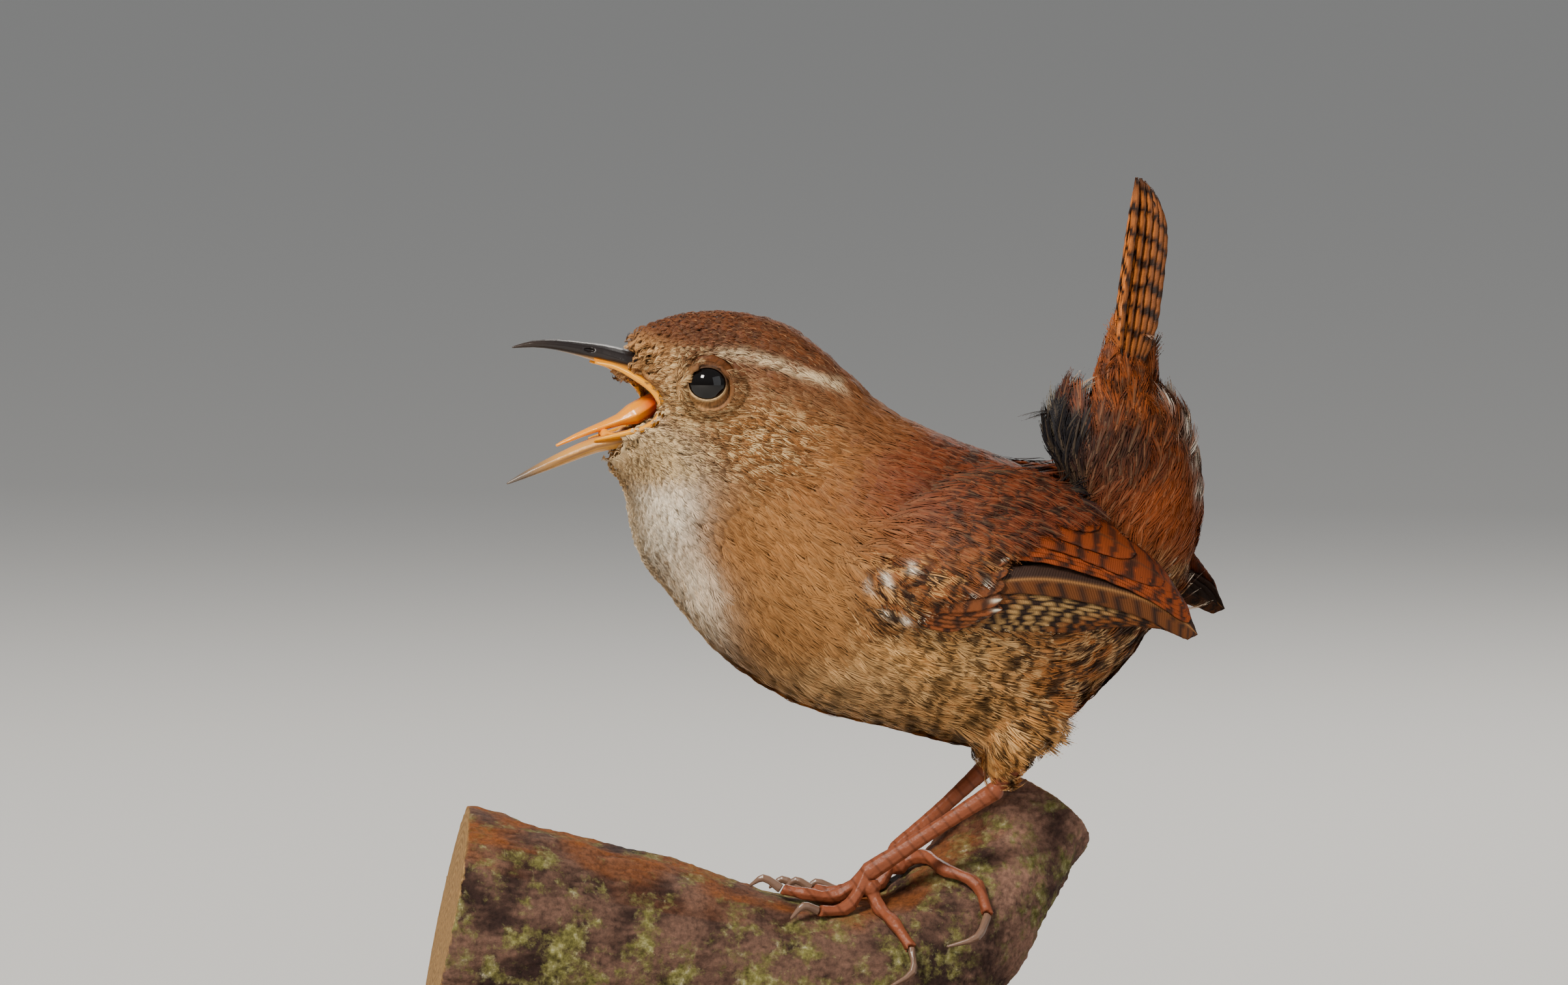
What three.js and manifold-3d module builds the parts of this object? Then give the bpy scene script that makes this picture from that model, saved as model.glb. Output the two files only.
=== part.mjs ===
// A singing wren with its tail cocked, life size, gripping a cut length of branch on a plain display stand.
// Millimetres, +Z up. The bird faces -X and its left side faces -Y.
// The origin is the middle of the base's underside.
import * as THREE from "three";
import { mergeVertices } from "three/addons/utils/BufferGeometryUtils.js";
import Module from "manifold-3d";

const wasm = await Module();
wasm.setup();
const { Manifold, Mesh } = wasm;

// Driving sizes of the whole model.
const GAP = 0.3; // clear space kept between two nodes that meet
const HEAD_YAW = THREE.MathUtils.degToRad(12); // the head is turned towards the bird's left
const TURN_X = -10; // the upright line the head turns about
const TURN_FROM = [-8.8, 84.5]; // the turn builds up along the neck between these two points of the profile
const TURN_TO = [-15.2, 93.5];
const EYE_RADIUS = 2.55;
const EYE_SHOWS = 2.06; // radius of the eye between its lids
const VANE = 0.55; // thickness of a feather's vane
const RECTRIX_LENGTH = 25.2; // from inside the tail coverts to the tip
const RECTRIX_HALF = 2.35;
const OUTER_RECTRIX = 0.9; // length of the outermost feather as a share of the middle one
const TARSUS_RADIUS = 0.78;
const TOE_RADIUS = 0.72;
const BASE = { length: 100, width: 64, height: 8, corner: 14, bevel: 1 };
const ROD_RADIUS = 1.6;
const ROD_X = [-30, -5];
const ROD_SUNK = 4; // how deep a rod stands in the base and in the branch

const V = (x, y, z) => new THREE.Vector3(x, y, z);
const clamp = THREE.MathUtils.clamp;
const smooth = (a, b, t) => THREE.MathUtils.smoothstep(t, a, b);

// Solids: a geometry becomes a closed manifold, and a manifold becomes a named mesh.
function solidOf(geometry) {
  const bare = new THREE.BufferGeometry();
  bare.setAttribute("position", geometry.getAttribute("position"));
  if (geometry.index) bare.setIndex(geometry.index);
  const merged = mergeVertices(bare, 1e-4);
  const triVerts = new Uint32Array(merged.index.array);
  const build = () =>
    new Manifold(new Mesh({ numProp: 3, vertProperties: merged.attributes.position.array, triVerts }));
  let made = build();
  if (made.volume() < 0) {
    for (let i = 0; i < triVerts.length; i += 3) {
      [triVerts[i + 1], triVerts[i + 2]] = [triVerts[i + 2], triVerts[i + 1]];
    }
    made = build();
  }
  return made;
}

function largest(solid) {
  return solid.decompose().reduce((a, b) => (b.volume() > a.volume() ? b : a));
}

const joined = (pieces) => pieces.reduce((a, b) => a.add(b));

// The head turns on the neck once its parts are cut to one another: left and right are alike till then.
function turnHead([x, y, z]) {
  const [rx, rz] = [TURN_TO[0] - TURN_FROM[0], TURN_TO[1] - TURN_FROM[1]];
  const share = ((x - TURN_FROM[0]) * rx + (z - TURN_FROM[1]) * rz) / (rx * rx + rz * rz);
  const angle = HEAD_YAW * smooth(0, 1, share);
  return [x - y * Math.sin(angle), (x - TURN_X) * Math.tan(angle) + y * Math.cos(angle), z];
}

function turned(solid) {
  const { numProp, vertProperties, triVerts } = solid.getMesh();
  const positions = new Float32Array((vertProperties.length / numProp) * 3);
  for (let i = 0; i < positions.length / 3; i++) {
    positions.set(turnHead(vertProperties.subarray(i * numProp, i * numProp + 3)), i * 3);
  }
  return new Manifold(new Mesh({ numProp: 3, vertProperties: positions, triVerts }));
}

const group = new THREE.Group();

function node(name, solid, material) {
  const mesh = largest(solid).getMesh();
  const geometry = new THREE.BufferGeometry();
  geometry.setAttribute("position", new THREE.BufferAttribute(mesh.vertProperties, 3));
  geometry.setIndex(new THREE.BufferAttribute(mesh.triVerts, 1));
  geometry.computeVertexNormals();
  const made = new THREE.Mesh(geometry, material);
  made.name = name;
  group.add(made);
}

// Lofts: a sphere's grid drawn onto a row of oval sections, each with a centre, an up and a side half axis.
function loft(sections, around, along, { grow = 0, wave = null } = {}) {
  const curve = (key) => new THREE.CatmullRomCurve3(sections.map((s) => s[key]), false, "centripetal");
  const [centres, ups, sides] = ["centre", "up", "side"].map(curve);
  const geometry = new THREE.SphereGeometry(1, around, along);
  const at = geometry.getAttribute("position");
  const p = new THREE.Vector3();
  for (let i = 0; i < at.count; i++) {
    p.fromBufferAttribute(at, i);
    const ring = Math.round((Math.acos(clamp(p.y, -1, 1)) / Math.PI) * along);
    const t = clamp((ring - 1) / (along - 2), 0, 1);
    const centre = centres.getPoint(t);
    const pole = ring === 0 || ring === along;
    if (grow && (ring <= 1 || ring >= along - 1)) {
      const ahead = centres.getTangent(t).multiplyScalar(t < 0.5 ? -grow : grow);
      centre.add(ahead);
    }
    if (!pole) {
      const angle = Math.atan2(p.z, p.x);
      const swell = wave ? wave(t, angle) : 1;
      const up = ups.getPoint(t);
      const side = sides.getPoint(t);
      up.multiplyScalar(swell + grow / Math.max(up.length(), 0.2));
      side.multiplyScalar(swell + grow / Math.max(side.length(), 0.2));
      centre.addScaledVector(up, Math.sin(angle)).addScaledVector(side, Math.cos(angle));
    }
    at.setXYZ(i, centre.x, centre.y, centre.z);
  }
  return solidOf(geometry);
}

// A section of the body, given by its upper and lower end in the profile and its half width.
function chord([topX, topZ], [bottomX, bottomZ], half, y = 0) {
  return {
    centre: V((topX + bottomX) / 2, y, (topZ + bottomZ) / 2),
    up: V((topX - bottomX) / 2, 0, (topZ - bottomZ) / 2),
    side: V(0, half, 0),
  };
}

// A round or oval tube through points, each with its own half height and half width.
function tubeSections(points, heights, widths, upHint = V(0, 0, 1)) {
  const line = new THREE.CatmullRomCurve3(points, false, "centripetal");
  return points.map((centre, i) => {
    const ahead = line.getTangent(i / (points.length - 1));
    const side = ahead.clone().cross(upHint).normalize();
    const up = side.clone().cross(ahead).normalize();
    return { centre, up: up.multiplyScalar(heights[i]), side: side.multiplyScalar(widths[i]) };
  });
}

function midlineLoft(rows, around, along, options) {
  const points = rows.map((r) => V(r.x, 0, r.z));
  const sections = tubeSections(points, rows.map((r) => r.height), rows.map((r) => r.width));
  return loft(sections, around, along, options);
}

// A thin flat slab across the profile, for parting one node from the next.
const SLAB_OVER = 30; // how much longer the slab is than the cut
function cutAcross([x1, z1], [x2, z2], thickness = GAP) {
  const along = V(x2 - x1, 0, z2 - z1);
  const slab = new THREE.BoxGeometry(along.length() + SLAB_OVER, SLAB_OVER * 3, thickness);
  slab.applyMatrix4(new THREE.Matrix4().makeRotationY(-Math.atan2(along.z, along.x)));
  slab.translate((x1 + x2) / 2, 0, (z1 + z2) / 2);
  return solidOf(slab);
}

// The piece of a parted solid that holds the given point of the profile, by the nearest centre of its box.
function pieceNear(pieces, x, z) {
  const distance = (m) => {
    const box = m.boundingBox();
    return Math.hypot((box.min[0] + box.max[0]) / 2 - x, (box.min[2] + box.max[2]) / 2 - z);
  };
  return pieces.reduce((a, b) => (distance(b) < distance(a) ? b : a));
}

// Body: one loft from the face to the vent, each section running from the back line to the throat or belly.
const BODY_SECTIONS = [
  chord([-29.0, 104.1], [-31.4, 91.9], 1.7),
  chord([-27.4, 105.2], [-29.9, 90.1], 3.2),
  chord([-24.8, 106.4], [-27.8, 87.6], 5.2),
  chord([-20.4, 107.5], [-27.2, 84.4], 7.2),
  chord([-15.3, 107.6], [-26.7, 81.4], 8.3),
  chord([-9.5, 106.1], [-25.4, 78.6], 9.3),
  chord([-3.6, 101.5], [-22.6, 75.2], 10.6),
  chord([1.5, 96.7], [-19.0, 70.6], 12.4),
  chord([7.3, 94.0], [-13.9, 66.3], 14.0),
  chord([13.1, 91.7], [-7.3, 62.8], 15.0),
  chord([18.2, 89.6], [0.0, 61.1], 15.0),
  chord([22.6, 86.8], [7.3, 59.2], 13.8),
  chord([26.3, 83.9], [14.6, 58.0], 11.8),
  chord([29.2, 81.2], [20.6, 60.6], 9.0),
  chord([31.0, 79.0], [26.4, 65.8], 6.3),
  chord([32.2, 77.4], [30.6, 70.4], 3.6),
];
const body = loft(BODY_SECTIONS, 24, 32);

// Tail base: the puffed rump and tail coverts, rising from the back of the body.
const RUMP_SECTIONS = [
  chord([21.4, 84.0], [33.4, 73.5], 5.2),
  chord([20.6, 88.8], [35.8, 79.2], 6.6),
  chord([19.4, 92.4], [37.4, 85.4], 6.9),
  chord([20.2, 96.0], [36.2, 92.0], 6.3),
  chord([22.4, 99.8], [34.8, 98.2], 5.0),
  chord([24.6, 102.4], [33.4, 102.2], 3.7),
  chord([26.1, 104.6], [32.0, 104.6], 2.8),
];
const tailBase = loft(RUMP_SECTIONS, 20, 14);

// Legs: the feathered tibia of each side, from inside the belly down to the heel.
const LEG = {
  left: { heel: V(13.6, -5.4, 53.9), foot: V(-0.5, -3.7, 44.7) },
  right: { heel: V(12.3, 5.4, 55.4), foot: V(2.7, 2.2, 46.7) },
};

function tibia({ heel }, grow = 0) {
  const side = Math.sign(heel.y);
  const section = (x, y, z, deep, tilt, wide) => ({
    centre: heel.clone().add(V(x, side * y, z)),
    up: V(deep, 0, tilt),
    side: V(0, wide, 0),
  });
  const sections = [
    section(3.6, 1.2, 11, 5.6, 1.0, 4.0),
    section(2.6, 0.8, 5.5, 4.4, 0.9, 3.3),
    section(1.4, 0.2, 2.6, 3.2, 0.6, 2.4),
    section(0.4, 0, 0.5, 1.6, -0.4, 1.4),
  ];
  return loft(sections, 12, 8, { grow });
}

// Eyes: a ball set in the side of the head, showing between two lids.
const LID = { radius: 0.42, outside: 0.18, forward: 0.62, wide: 1.05, tall: 0.94 };
const EYE = { x: -19.7, y: 6.0, z: 99.65 };
const EYE_LOOK = V(-0.2, 0.97, 0.06).normalize();

function eyeBall(side, grow = 0) {
  const ball = new THREE.SphereGeometry(EYE_RADIUS + grow, 12, 8);
  ball.translate(EYE.x, side * EYE.y, EYE.z);
  return solidOf(ball);
}

function lids(side) {
  const ring = new THREE.TorusGeometry(EYE_SHOWS + LID.outside, LID.radius, 4, 16);
  ring.scale(LID.wide, LID.tall, 1);
  const look = V(EYE_LOOK.x, side * EYE_LOOK.y, EYE_LOOK.z);
  ring.applyQuaternion(new THREE.Quaternion().setFromUnitVectors(V(0, 0, 1), look));
  const out = look.multiplyScalar(EYE_RADIUS * LID.forward);
  ring.translate(EYE.x + out.x, side * EYE.y + out.y, EYE.z + out.z);
  return solidOf(ring);
}

// Bill: two slender curved mandibles, open wide, each rooted in the face.
const UPPER_BILL = [
  { x: -24.2, z: 100.9, height: 1.5, width: 2.9 },
  { x: -28.0, z: 102.1, height: 1.35, width: 2.2 },
  { x: -30.4, z: 102.9, height: 1.08, width: 1.55 },
  { x: -32.6, z: 103.4, height: 0.84, width: 1.12 },
  { x: -35.4, z: 103.9, height: 0.62, width: 0.8 },
  { x: -38.0, z: 104.0, height: 0.4, width: 0.5 },
  { x: -40.3, z: 103.65, height: 0.12, width: 0.14 },
];
const LOWER_BILL = [
  { x: -24.6, z: 93.9, height: 0.95, width: 3.0 },
  { x: -27.9, z: 93.3, height: 0.95, width: 2.4 },
  { x: -31.2, z: 92.6, height: 0.9, width: 1.7 },
  { x: -34.0, z: 91.5, height: 0.78, width: 1.25 },
  { x: -36.8, z: 90.3, height: 0.6, width: 0.85 },
  { x: -39.2, z: 89.2, height: 0.36, width: 0.45 },
  { x: -40.9, z: 88.4, height: 0.12, width: 0.14 },
];

const mandible = (rows, grow = 0) => midlineLoft(rows, 12, 14, { grow });

const NOSTRIL = { x: -31.9, y: 1.12, z: 103.35, size: [0.75, 0.35, 0.24], slope: 10 };
function nostril(side) {
  const slit = new THREE.SphereGeometry(1, 8, 6);
  slit.scale(...NOSTRIL.size);
  slit.rotateY(THREE.MathUtils.degToRad(NOSTRIL.slope));
  slit.translate(NOSTRIL.x, side * NOSTRIL.y, NOSTRIL.z);
  return solidOf(slit);
}

// Mouth: the gap between the jaws, seen from the side, and the throat behind it.
const GAPE = [
  [-36.0, 102.6],
  [-30.6, 101.4],
  [-27.3, 99.9],
  [-25.4, 98.6],
  [-24.9, 97.2],
  [-25.1, 95.8],
  [-26.6, 94.7],
  [-31.6, 93.9],
  [-36.0, 92.8],
];

const GAPE_REACH = 12; // the gap is cut this far out on both sides
const THROAT = [
  { x: -29.0, z: 97.6, height: 3.0, width: 3.4 },
  { x: -25.0, z: 97.2, height: 2.6, width: 3.2 },
  { x: -21.6, z: 96.0, height: 0.8, width: 0.9 },
];

function mouth() {
  const outline = new THREE.Shape(GAPE.map(([x, z]) => new THREE.Vector2(x, z)));
  const notch = new THREE.ExtrudeGeometry(outline, { depth: 2 * GAPE_REACH, bevelEnabled: false });
  notch.rotateX(Math.PI / 2);
  notch.translate(0, GAPE_REACH, 0);
  return solidOf(notch).add(midlineLoft(THROAT, 10, 6));
}

// Tongue: a narrow blade in the lower mandible, rising at its root to the back of the mouth.
const TONGUE = [
  { x: -24.3, z: 97.6, height: 1.0, width: 1.9 },
  { x: -26.3, z: 96.3, height: 1.3, width: 2.2 },
  { x: -28.6, z: 95.35, height: 0.62, width: 1.5 },
  { x: -31.4, z: 94.35, height: 0.42, width: 1.0 },
  { x: -33.8, z: 93.35, height: 0.3, width: 0.6 },
  { x: -35.4, z: 92.6, height: 0.16, width: 0.25 },
];

// Wings: a curved sheet over the flank, from the shoulder to the tip. Each row gives how far out and how high
// the sheet's lower edge, middle and upper edge lie.
const WING_ROWS = [
  { x: -2.6, low: [13.2, 76.4], mid: [13.3, 78.0], top: [12.8, 79.6] },
  { x: 1.5, low: [14.4, 74.4], mid: [14.7, 78.8], top: [12.9, 83.2] },
  { x: 6.0, low: [15.7, 73.2], mid: [16.0, 79.6], top: [11.9, 86.0] },
  { x: 12.0, low: [16.2, 73.0], mid: [16.0, 80.4], top: [9.4, 88.0] },
  { x: 18.0, low: [15.0, 73.2], mid: [14.4, 80.0], top: [7.4, 87.0] },
  { x: 24.0, low: [12.6, 72.9], mid: [12.0, 78.2], top: [6.6, 83.6] },
  { x: 30.0, low: [10.2, 72.2], mid: [10.0, 75.9], top: [7.2, 79.6] },
  { x: 34.0, low: [8.9, 71.4], mid: [8.8, 73.3], top: [7.8, 75.3] },
  { x: 35.9, low: [8.4, 71.0], mid: [8.4, 71.5], top: [8.2, 72.1] },
];
const FAR_REACH = V(2.9, 0, 1.5); // the right wing's tip is held further back and higher
const FAR_SHARE = 1.25;
const WING_END = 40; // the x at which the right wing would be drawn out in full
const wingLine = (key) =>
  new THREE.CatmullRomCurve3(WING_ROWS.map((r) => V(r.x, -r[key][0], r[key][1])), false, "centripetal");
const [WING_LOW, WING_MID, WING_TOP] = ["low", "mid", "top"].map(wingLine);

// A point of the left wing: along 0 to 1 from shoulder to tip, across -1 to 1 from lower to upper edge.
function wingSheet(along, across) {
  return WING_LOW.getPoint(along)
    .multiplyScalar((across * (across - 1)) / 2)
    .addScaledVector(WING_MID.getPoint(along), 1 - across * across)
    .addScaledVector(WING_TOP.getPoint(along), (across * (across + 1)) / 2);
}

function wingPoint(along, across, lift) {
  const step = 0.02;
  const u = clamp(along, step, 1 - step);
  const ahead = wingSheet(u + step, across).sub(wingSheet(u - step, across));
  const upward = wingSheet(u, across + 0.05).sub(wingSheet(u, across - 0.05));
  const out = ahead.cross(upward).normalize();
  if (out.y > 0) out.negate();
  return wingSheet(along, across).addScaledVector(out, lift);
}

const wingHalf = (along) => WING_TOP.getPoint(along).distanceTo(WING_LOW.getPoint(along)) / 2;

// The right wing is the left one mirrored, its outer part drawn towards its own tip.
function mirrorWing(solid) {
  const { numProp, vertProperties, triVerts } = solid.getMesh();
  const positions = new Float32Array((vertProperties.length / numProp) * 3);
  for (let i = 0; i < positions.length / 3; i++) {
    const [x, y, z] = vertProperties.subarray(i * numProp, i * numProp + 3);
    const share = smooth(0, WING_END, x) ** 1.5 * FAR_SHARE;
    positions.set([x + FAR_REACH.x * share, -y, z + FAR_REACH.z * share], i * 3);
  }
  const flipped = triVerts.map((_, i) => triVerts[i % 3 === 0 ? i : i % 3 === 1 ? i + 1 : i - 1]);
  return new Manifold(new Mesh({ numProp: 3, vertProperties: positions, triVerts: flipped }));
}

// A wing-shaped cushion between two depths of the sheet: square edges and a margin make the bed for the wing,
// and a smaller share of the sheet makes the fleshy arm that the feathers grow from.
function wingForm(inner, outer, { margin = 0, share = 1, length = 1 }) {
  const around = 12;
  const along = 10;
  const edge = (v) => (!margin ? v : Math.abs(v) < 1e-6 ? 0 : Math.sign(v) * Math.abs(v) ** 0.3);
  const geometry = new THREE.SphereGeometry(1, around, along);
  const at = geometry.getAttribute("position");
  const p = new THREE.Vector3();
  for (let i = 0; i < at.count; i++) {
    p.fromBufferAttribute(at, i);
    const ring = Math.round((Math.acos(clamp(p.y, -1, 1)) / Math.PI) * along);
    const t = clamp((ring - 1) / (along - 2), 0, 1);
    const pole = ring === 0 || ring === along;
    const angle = Math.atan2(p.z, p.x);
    const half = wingHalf(t * length);
    const across = pole ? 0 : edge(Math.cos(angle)) * (share + margin / Math.max(half, 0.6));
    const depth = pole ? (inner + outer) / 2 : inner + ((edge(Math.sin(angle)) + 1) / 2) * (outer - inner);
    const q = wingPoint(t * length, across, depth);
    if (t === 0) q.x -= margin;
    if (t === 1) q.x += margin;
    at.setXYZ(i, q.x, q.y, q.z);
  }
  return solidOf(geometry);
}

// A vane: a thin closed blade on six-sided rings, its two faces cut into triangles alike. The place of a
// point is asked of at(along, side, lift), with side from -1 to 1 over the blade's width.
function vane(at, rings) {
  const positions = [];
  for (let i = 0; i < rings; i++) {
    const t = i / (rings - 1);
    const thick = i === rings - 1 ? VANE / 2 : VANE;
    const rim = [[-1, thick], [0, thick], [1, thick], [1, 0], [0, 0], [-1, 0]];
    for (const [side, lift] of rim) positions.push(...at(t, side, lift).toArray());
  }
  const index = [];
  const quad = (a, b, c, d) => index.push(a, b, c, a, c, d);
  for (let i = 0; i < rings - 1; i++) {
    const [a, b] = [i * 6, i * 6 + 6];
    quad(a, a + 1, b + 1, b);
    quad(a + 1, a + 2, b + 2, b + 1);
    quad(a + 2, a + 3, b + 3, b + 2);
    index.push(a + 5, b + 4, a + 4, a + 5, b + 5, b + 4);
    index.push(a + 4, b + 3, a + 3, a + 4, b + 4, b + 3);
    quad(a + 5, a, b, b + 5);
  }
  const end = (rings - 1) * 6;
  quad(0, 5, 4, 1);
  quad(1, 4, 3, 2);
  quad(end, end + 1, end + 4, end + 5);
  quad(end + 1, end + 2, end + 3, end + 4);
  const geometry = new THREE.BufferGeometry();
  geometry.setAttribute("position", new THREE.BufferAttribute(new Float32Array(positions), 3));
  geometry.setIndex(index);
  return solidOf(geometry);
}

// The outline of a vane: narrow at its root, widest past the middle, round at its tip.
function vaneWidth(t, roundness = 2.2) {
  const tip = clamp((t - 0.6) / 0.4, 0, 1);
  return (0.55 + 0.45 * smooth(0, 0.4, t)) * Math.max((1 - tip ** roundness) ** 0.6, 0.12);
}

const CAMBER = 0.12; // how much a vane's middle stands above its edges

// A feather of the wing runs over the sheet from one place to another, each given along and across. Its lower
// edge stands proud and its upper edge lies under the feather above.
function wingVane({ from, to, width, lift, tilt = 0.3, rings = 3 }) {
  return vane((t, side, raise) => {
    const along = from[0] + (to[0] - from[0]) * t;
    const across = from[1] + (to[1] - from[1]) * t;
    const reach = (side * width * vaneWidth(t)) / Math.max(wingHalf(along), 1.5);
    const proud = CAMBER * (1 - side * side) - side * tilt * vaneWidth(t);
    return wingPoint(along, across + reach, lift + proud + raise);
  }, rings);
}

// Tiers of wing feathers, lowest first: each tier runs from its first feather to its last in equal steps.
const WING_TIERS = [
  {
    count: 3,
    first: [[0.27, -0.7], [0.68, -0.82]],
    last: [[0.3, -0.5], [0.93, -0.2]],
    width: 2.2,
    lift: [0.35, 0.6],
    rings: 4,
  },
  {
    count: 1,
    first: [[0.3, -0.42], [1.0, 0]],
    last: [[0.3, -0.42], [1.0, 0]],
    width: 1.9,
    lift: [0.75, 0.75],
    rings: 6,
  },
  {
    count: 3,
    first: [[0.28, -0.2], [0.9, 0.28]],
    last: [[0.3, 0.25], [0.84, 0.7]],
    width: 2.7,
    lift: [0.95, 1.2],
    rings: 4,
  },
  {
    count: 2,
    first: [[0.3, 0.4], [0.8, 0.68]],
    last: [[0.3, 0.7], [0.64, 0.88]],
    width: 3.0,
    lift: [1.35, 1.6],
  },
  {
    count: 1,
    first: [[0.1, -0.55], [0.36, -0.86]],
    last: [[0.1, -0.55], [0.36, -0.86]],
    width: 1.5,
    lift: [1.0, 1.0],
  },
  {
    count: 3,
    first: [[0.13, -0.5], [0.4, -0.62]],
    last: [[0.16, 0.5], [0.44, 0.62]],
    width: 2.7,
    lift: [1.35, 1.5],
  },
  {
    count: 3,
    first: [[0.04, -0.36], [0.24, -0.5]],
    last: [[0.06, 0.4], [0.28, 0.5]],
    width: 2.0,
    lift: [1.6, 1.8],
  },
];

function wingFeathers() {
  const mix = (a, b, t) => a.map((v, i) => v + (b[i] - v) * t);
  return WING_TIERS.flatMap(({ count, first, last, width, lift, rings }) =>
    Array.from({ length: count }, (_, i) => {
      const t = count > 1 ? i / (count - 1) : 0;
      const [from, to] = [mix(first[0], last[0], t), mix(first[1], last[1], t)];
      return wingVane({ from, to, width, lift: lift[0] + (lift[1] - lift[0]) * t, rings });
    }),
  );
}

// Tail: a closed fan of rectrices, roof-shaped, the middle pair on top and longest.
const TAIL_ROOT = V(27.6, 0, 97.4);
const TAIL_UP = V(0.128, 0, 0.9918).normalize();
const PAIRS = 6;

function rectrix(side, pair) {
  const share = pair / (PAIRS - 1);
  const lean = THREE.MathUtils.degToRad(12 + 62 * share);
  const broad = V(Math.sin(lean), side * Math.cos(lean), 0);
  const upper = V(-Math.cos(lean), side * Math.sin(lean), 0);
  const foot = V(-1.0 + 1.9 * share, side * (0.9 + 2.1 * share), 0).addScaledVector(upper, -0.4 * share);
  const length = RECTRIX_LENGTH * (1 - (1 - OUTER_RECTRIX) * share ** 2);
  return vane((t, across, raise) => {
    const half = RECTRIX_HALF * vaneWidth(t, 3.2);
    const spread = 0.35 + 0.65 * smooth(0, 0.45, t);
    return TAIL_ROOT.clone()
      .addScaledVector(TAIL_UP, t * length)
      .addScaledVector(foot, spread)
      .addScaledVector(broad, across * half)
      .addScaledVector(upper, raise + CAMBER * (1 - across * across));
  }, 4);
}

// Perch: a cut length of gnarled branch, thick to the left and bent up to the right.
const PERCH_ROWS = [
  { x: -48.0, y: -2.5, z: 38.6, r: 13.4 },
  { x: -34.7, y: -1.5, z: 35.8, r: 12.7 },
  { x: -16.1, y: 0.0, z: 32.0, r: 11.6 },
  { x: -0.7, y: 1.5, z: 31.2, r: 10.6 },
  { x: 8.8, y: 5.0, z: 37.6, r: 8.8 },
  { x: 15.0, y: 9.0, z: 45.0, r: 7.4 },
  { x: 19.3, y: 12.0, z: 50.6, r: 6.4 },
];
const PERCH_SECTIONS = tubeSections(
  PERCH_ROWS.map((r) => V(r.x, r.y, r.z)),
  PERCH_ROWS.map((r) => r.r),
  PERCH_ROWS.map((r) => r.r),
  V(0, 1, 0),
);
const bark = (t, angle) =>
  1 + 0.03 * Math.sin(3 * angle + 9 * t) + 0.022 * Math.sin(5 * angle - 21 * t) + 0.02 * Math.sin(31 * t + 2 * angle);
const perchForm = (grow) => loft(PERCH_SECTIONS, 20, 22, { grow, wave: bark });

const perchCurve = (key) => new THREE.CatmullRomCurve3(PERCH_SECTIONS.map((s) => s[key]), false, "centripetal");
const [PERCH_LINE, PERCH_UP, PERCH_SIDE] = ["centre", "up", "side"].map(perchCurve);
const PERCH_RADII = new THREE.CatmullRomCurve3(PERCH_ROWS.map((r) => V(r.r, 0, 0)), false, "centripetal");

// Moves a point straight out from the middle of the branch until it lies lift above the bark.
function onPerch(point, lift) {
  let best = 0;
  let nearest = Infinity;
  for (let i = 0; i <= 240; i++) {
    const distance = PERCH_LINE.getPoint(i / 240).distanceToSquared(point);
    if (distance < nearest) [best, nearest] = [i / 240, distance];
  }
  const centre = PERCH_LINE.getPoint(best);
  const out = point.clone().sub(centre).normalize();
  const angle = Math.atan2(out.dot(PERCH_UP.getPoint(best)), out.dot(PERCH_SIDE.getPoint(best)));
  return centre.addScaledVector(out, PERCH_RADII.getPoint(best).x * bark(best, angle) + lift);
}

// Legs and feet: a scaled tarsus, four toes and their claws on each side.
function tarsus({ heel, foot }, grow = 0) {
  const rows = 7;
  const points = Array.from({ length: rows + 1 }, (_, i) => heel.clone().lerp(foot, i / rows));
  const swell = points.map((_, i) => TARSUS_RADIUS * (1 + 0.9 * Math.abs(i / rows - 0.45) ** 1.5));
  const scutes = (t) => 1 + 0.06 * ((t * 8) % 1);
  const sections = tubeSections(points, swell, swell.map((r) => r * 0.8));
  return loft(sections, 8, 17, { grow, wave: grow ? null : scutes });
}

// Each toe is given by the places of its joints from the foot outwards, laid on the bark, then by two
// points along its claw.
const TOES = {
  left: {
    inner: [[-3.6, -1.7, 44.0], [-6.8, -0.9, 43.6]],
    middle: [[-3.9, -3.8, 43.2], [-7.4, -3.9, 42.0], [-10.4, -3.5, 42.4]],
    outer: [[-2.9, -5.6, 41.4], [-6.2, -6.4, 40.4]],
    hallux: [[0.6, -5.0, 41.2], [2.4, -6.2, 39.0], [4.3, -7.9, 36.4]],
  },
  right: {
    inner: [[-1.0, 0.9, 45.0], [-4.4, 1.2, 44.6]],
    middle: [[-0.9, 2.9, 45.4], [-4.6, 3.3, 45.0], [-7.9, 3.2, 44.2]],
    outer: [[0.3, 4.7, 45.0], [-2.6, 6.5, 43.6]],
    hallux: [[5.4, 1.4, 46.6], [8.3, -0.4, 44.2], [11.5, -0.9, 42.6], [12.4, -2.2, 39.6]],
  },
};
const CLAWS = {
  left: {
    inner: [[-8.6, -0.6, 43.4], [-10.0, -0.5, 42.4]],
    middle: [[-12.5, -3.3, 42.6], [-14.0, -3.1, 41.6]],
    outer: [[-7.9, -6.8, 40.2], [-9.3, -7.0, 39.0]],
    hallux: [[4.5, -9.4, 34.0], [1.8, -9.6, 32.2]],
  },
  right: {
    inner: [[-6.2, 1.3, 44.6], [-7.6, 1.3, 43.4]],
    middle: [[-10.0, 3.2, 44.2], [-11.5, 3.2, 43.0]],
    outer: [[-4.2, 7.4, 43.0], [-5.5, 8.2, 41.6]],
    hallux: [[11.0, -3.6, 37.4], [8.0, -4.4, 36.3]],
  },
};

const SOLE_DROP = V(0.3, 0, -1.6); // from the end of the tarsus to the middle of the sole
const sole = (side) => LEG[side].foot.clone().add(SOLE_DROP);

function soleBall(side) {
  const ball = new THREE.SphereGeometry(1.2, 6, 5);
  ball.translate(...sole(side).toArray());
  return solidOf(ball);
}

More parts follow.
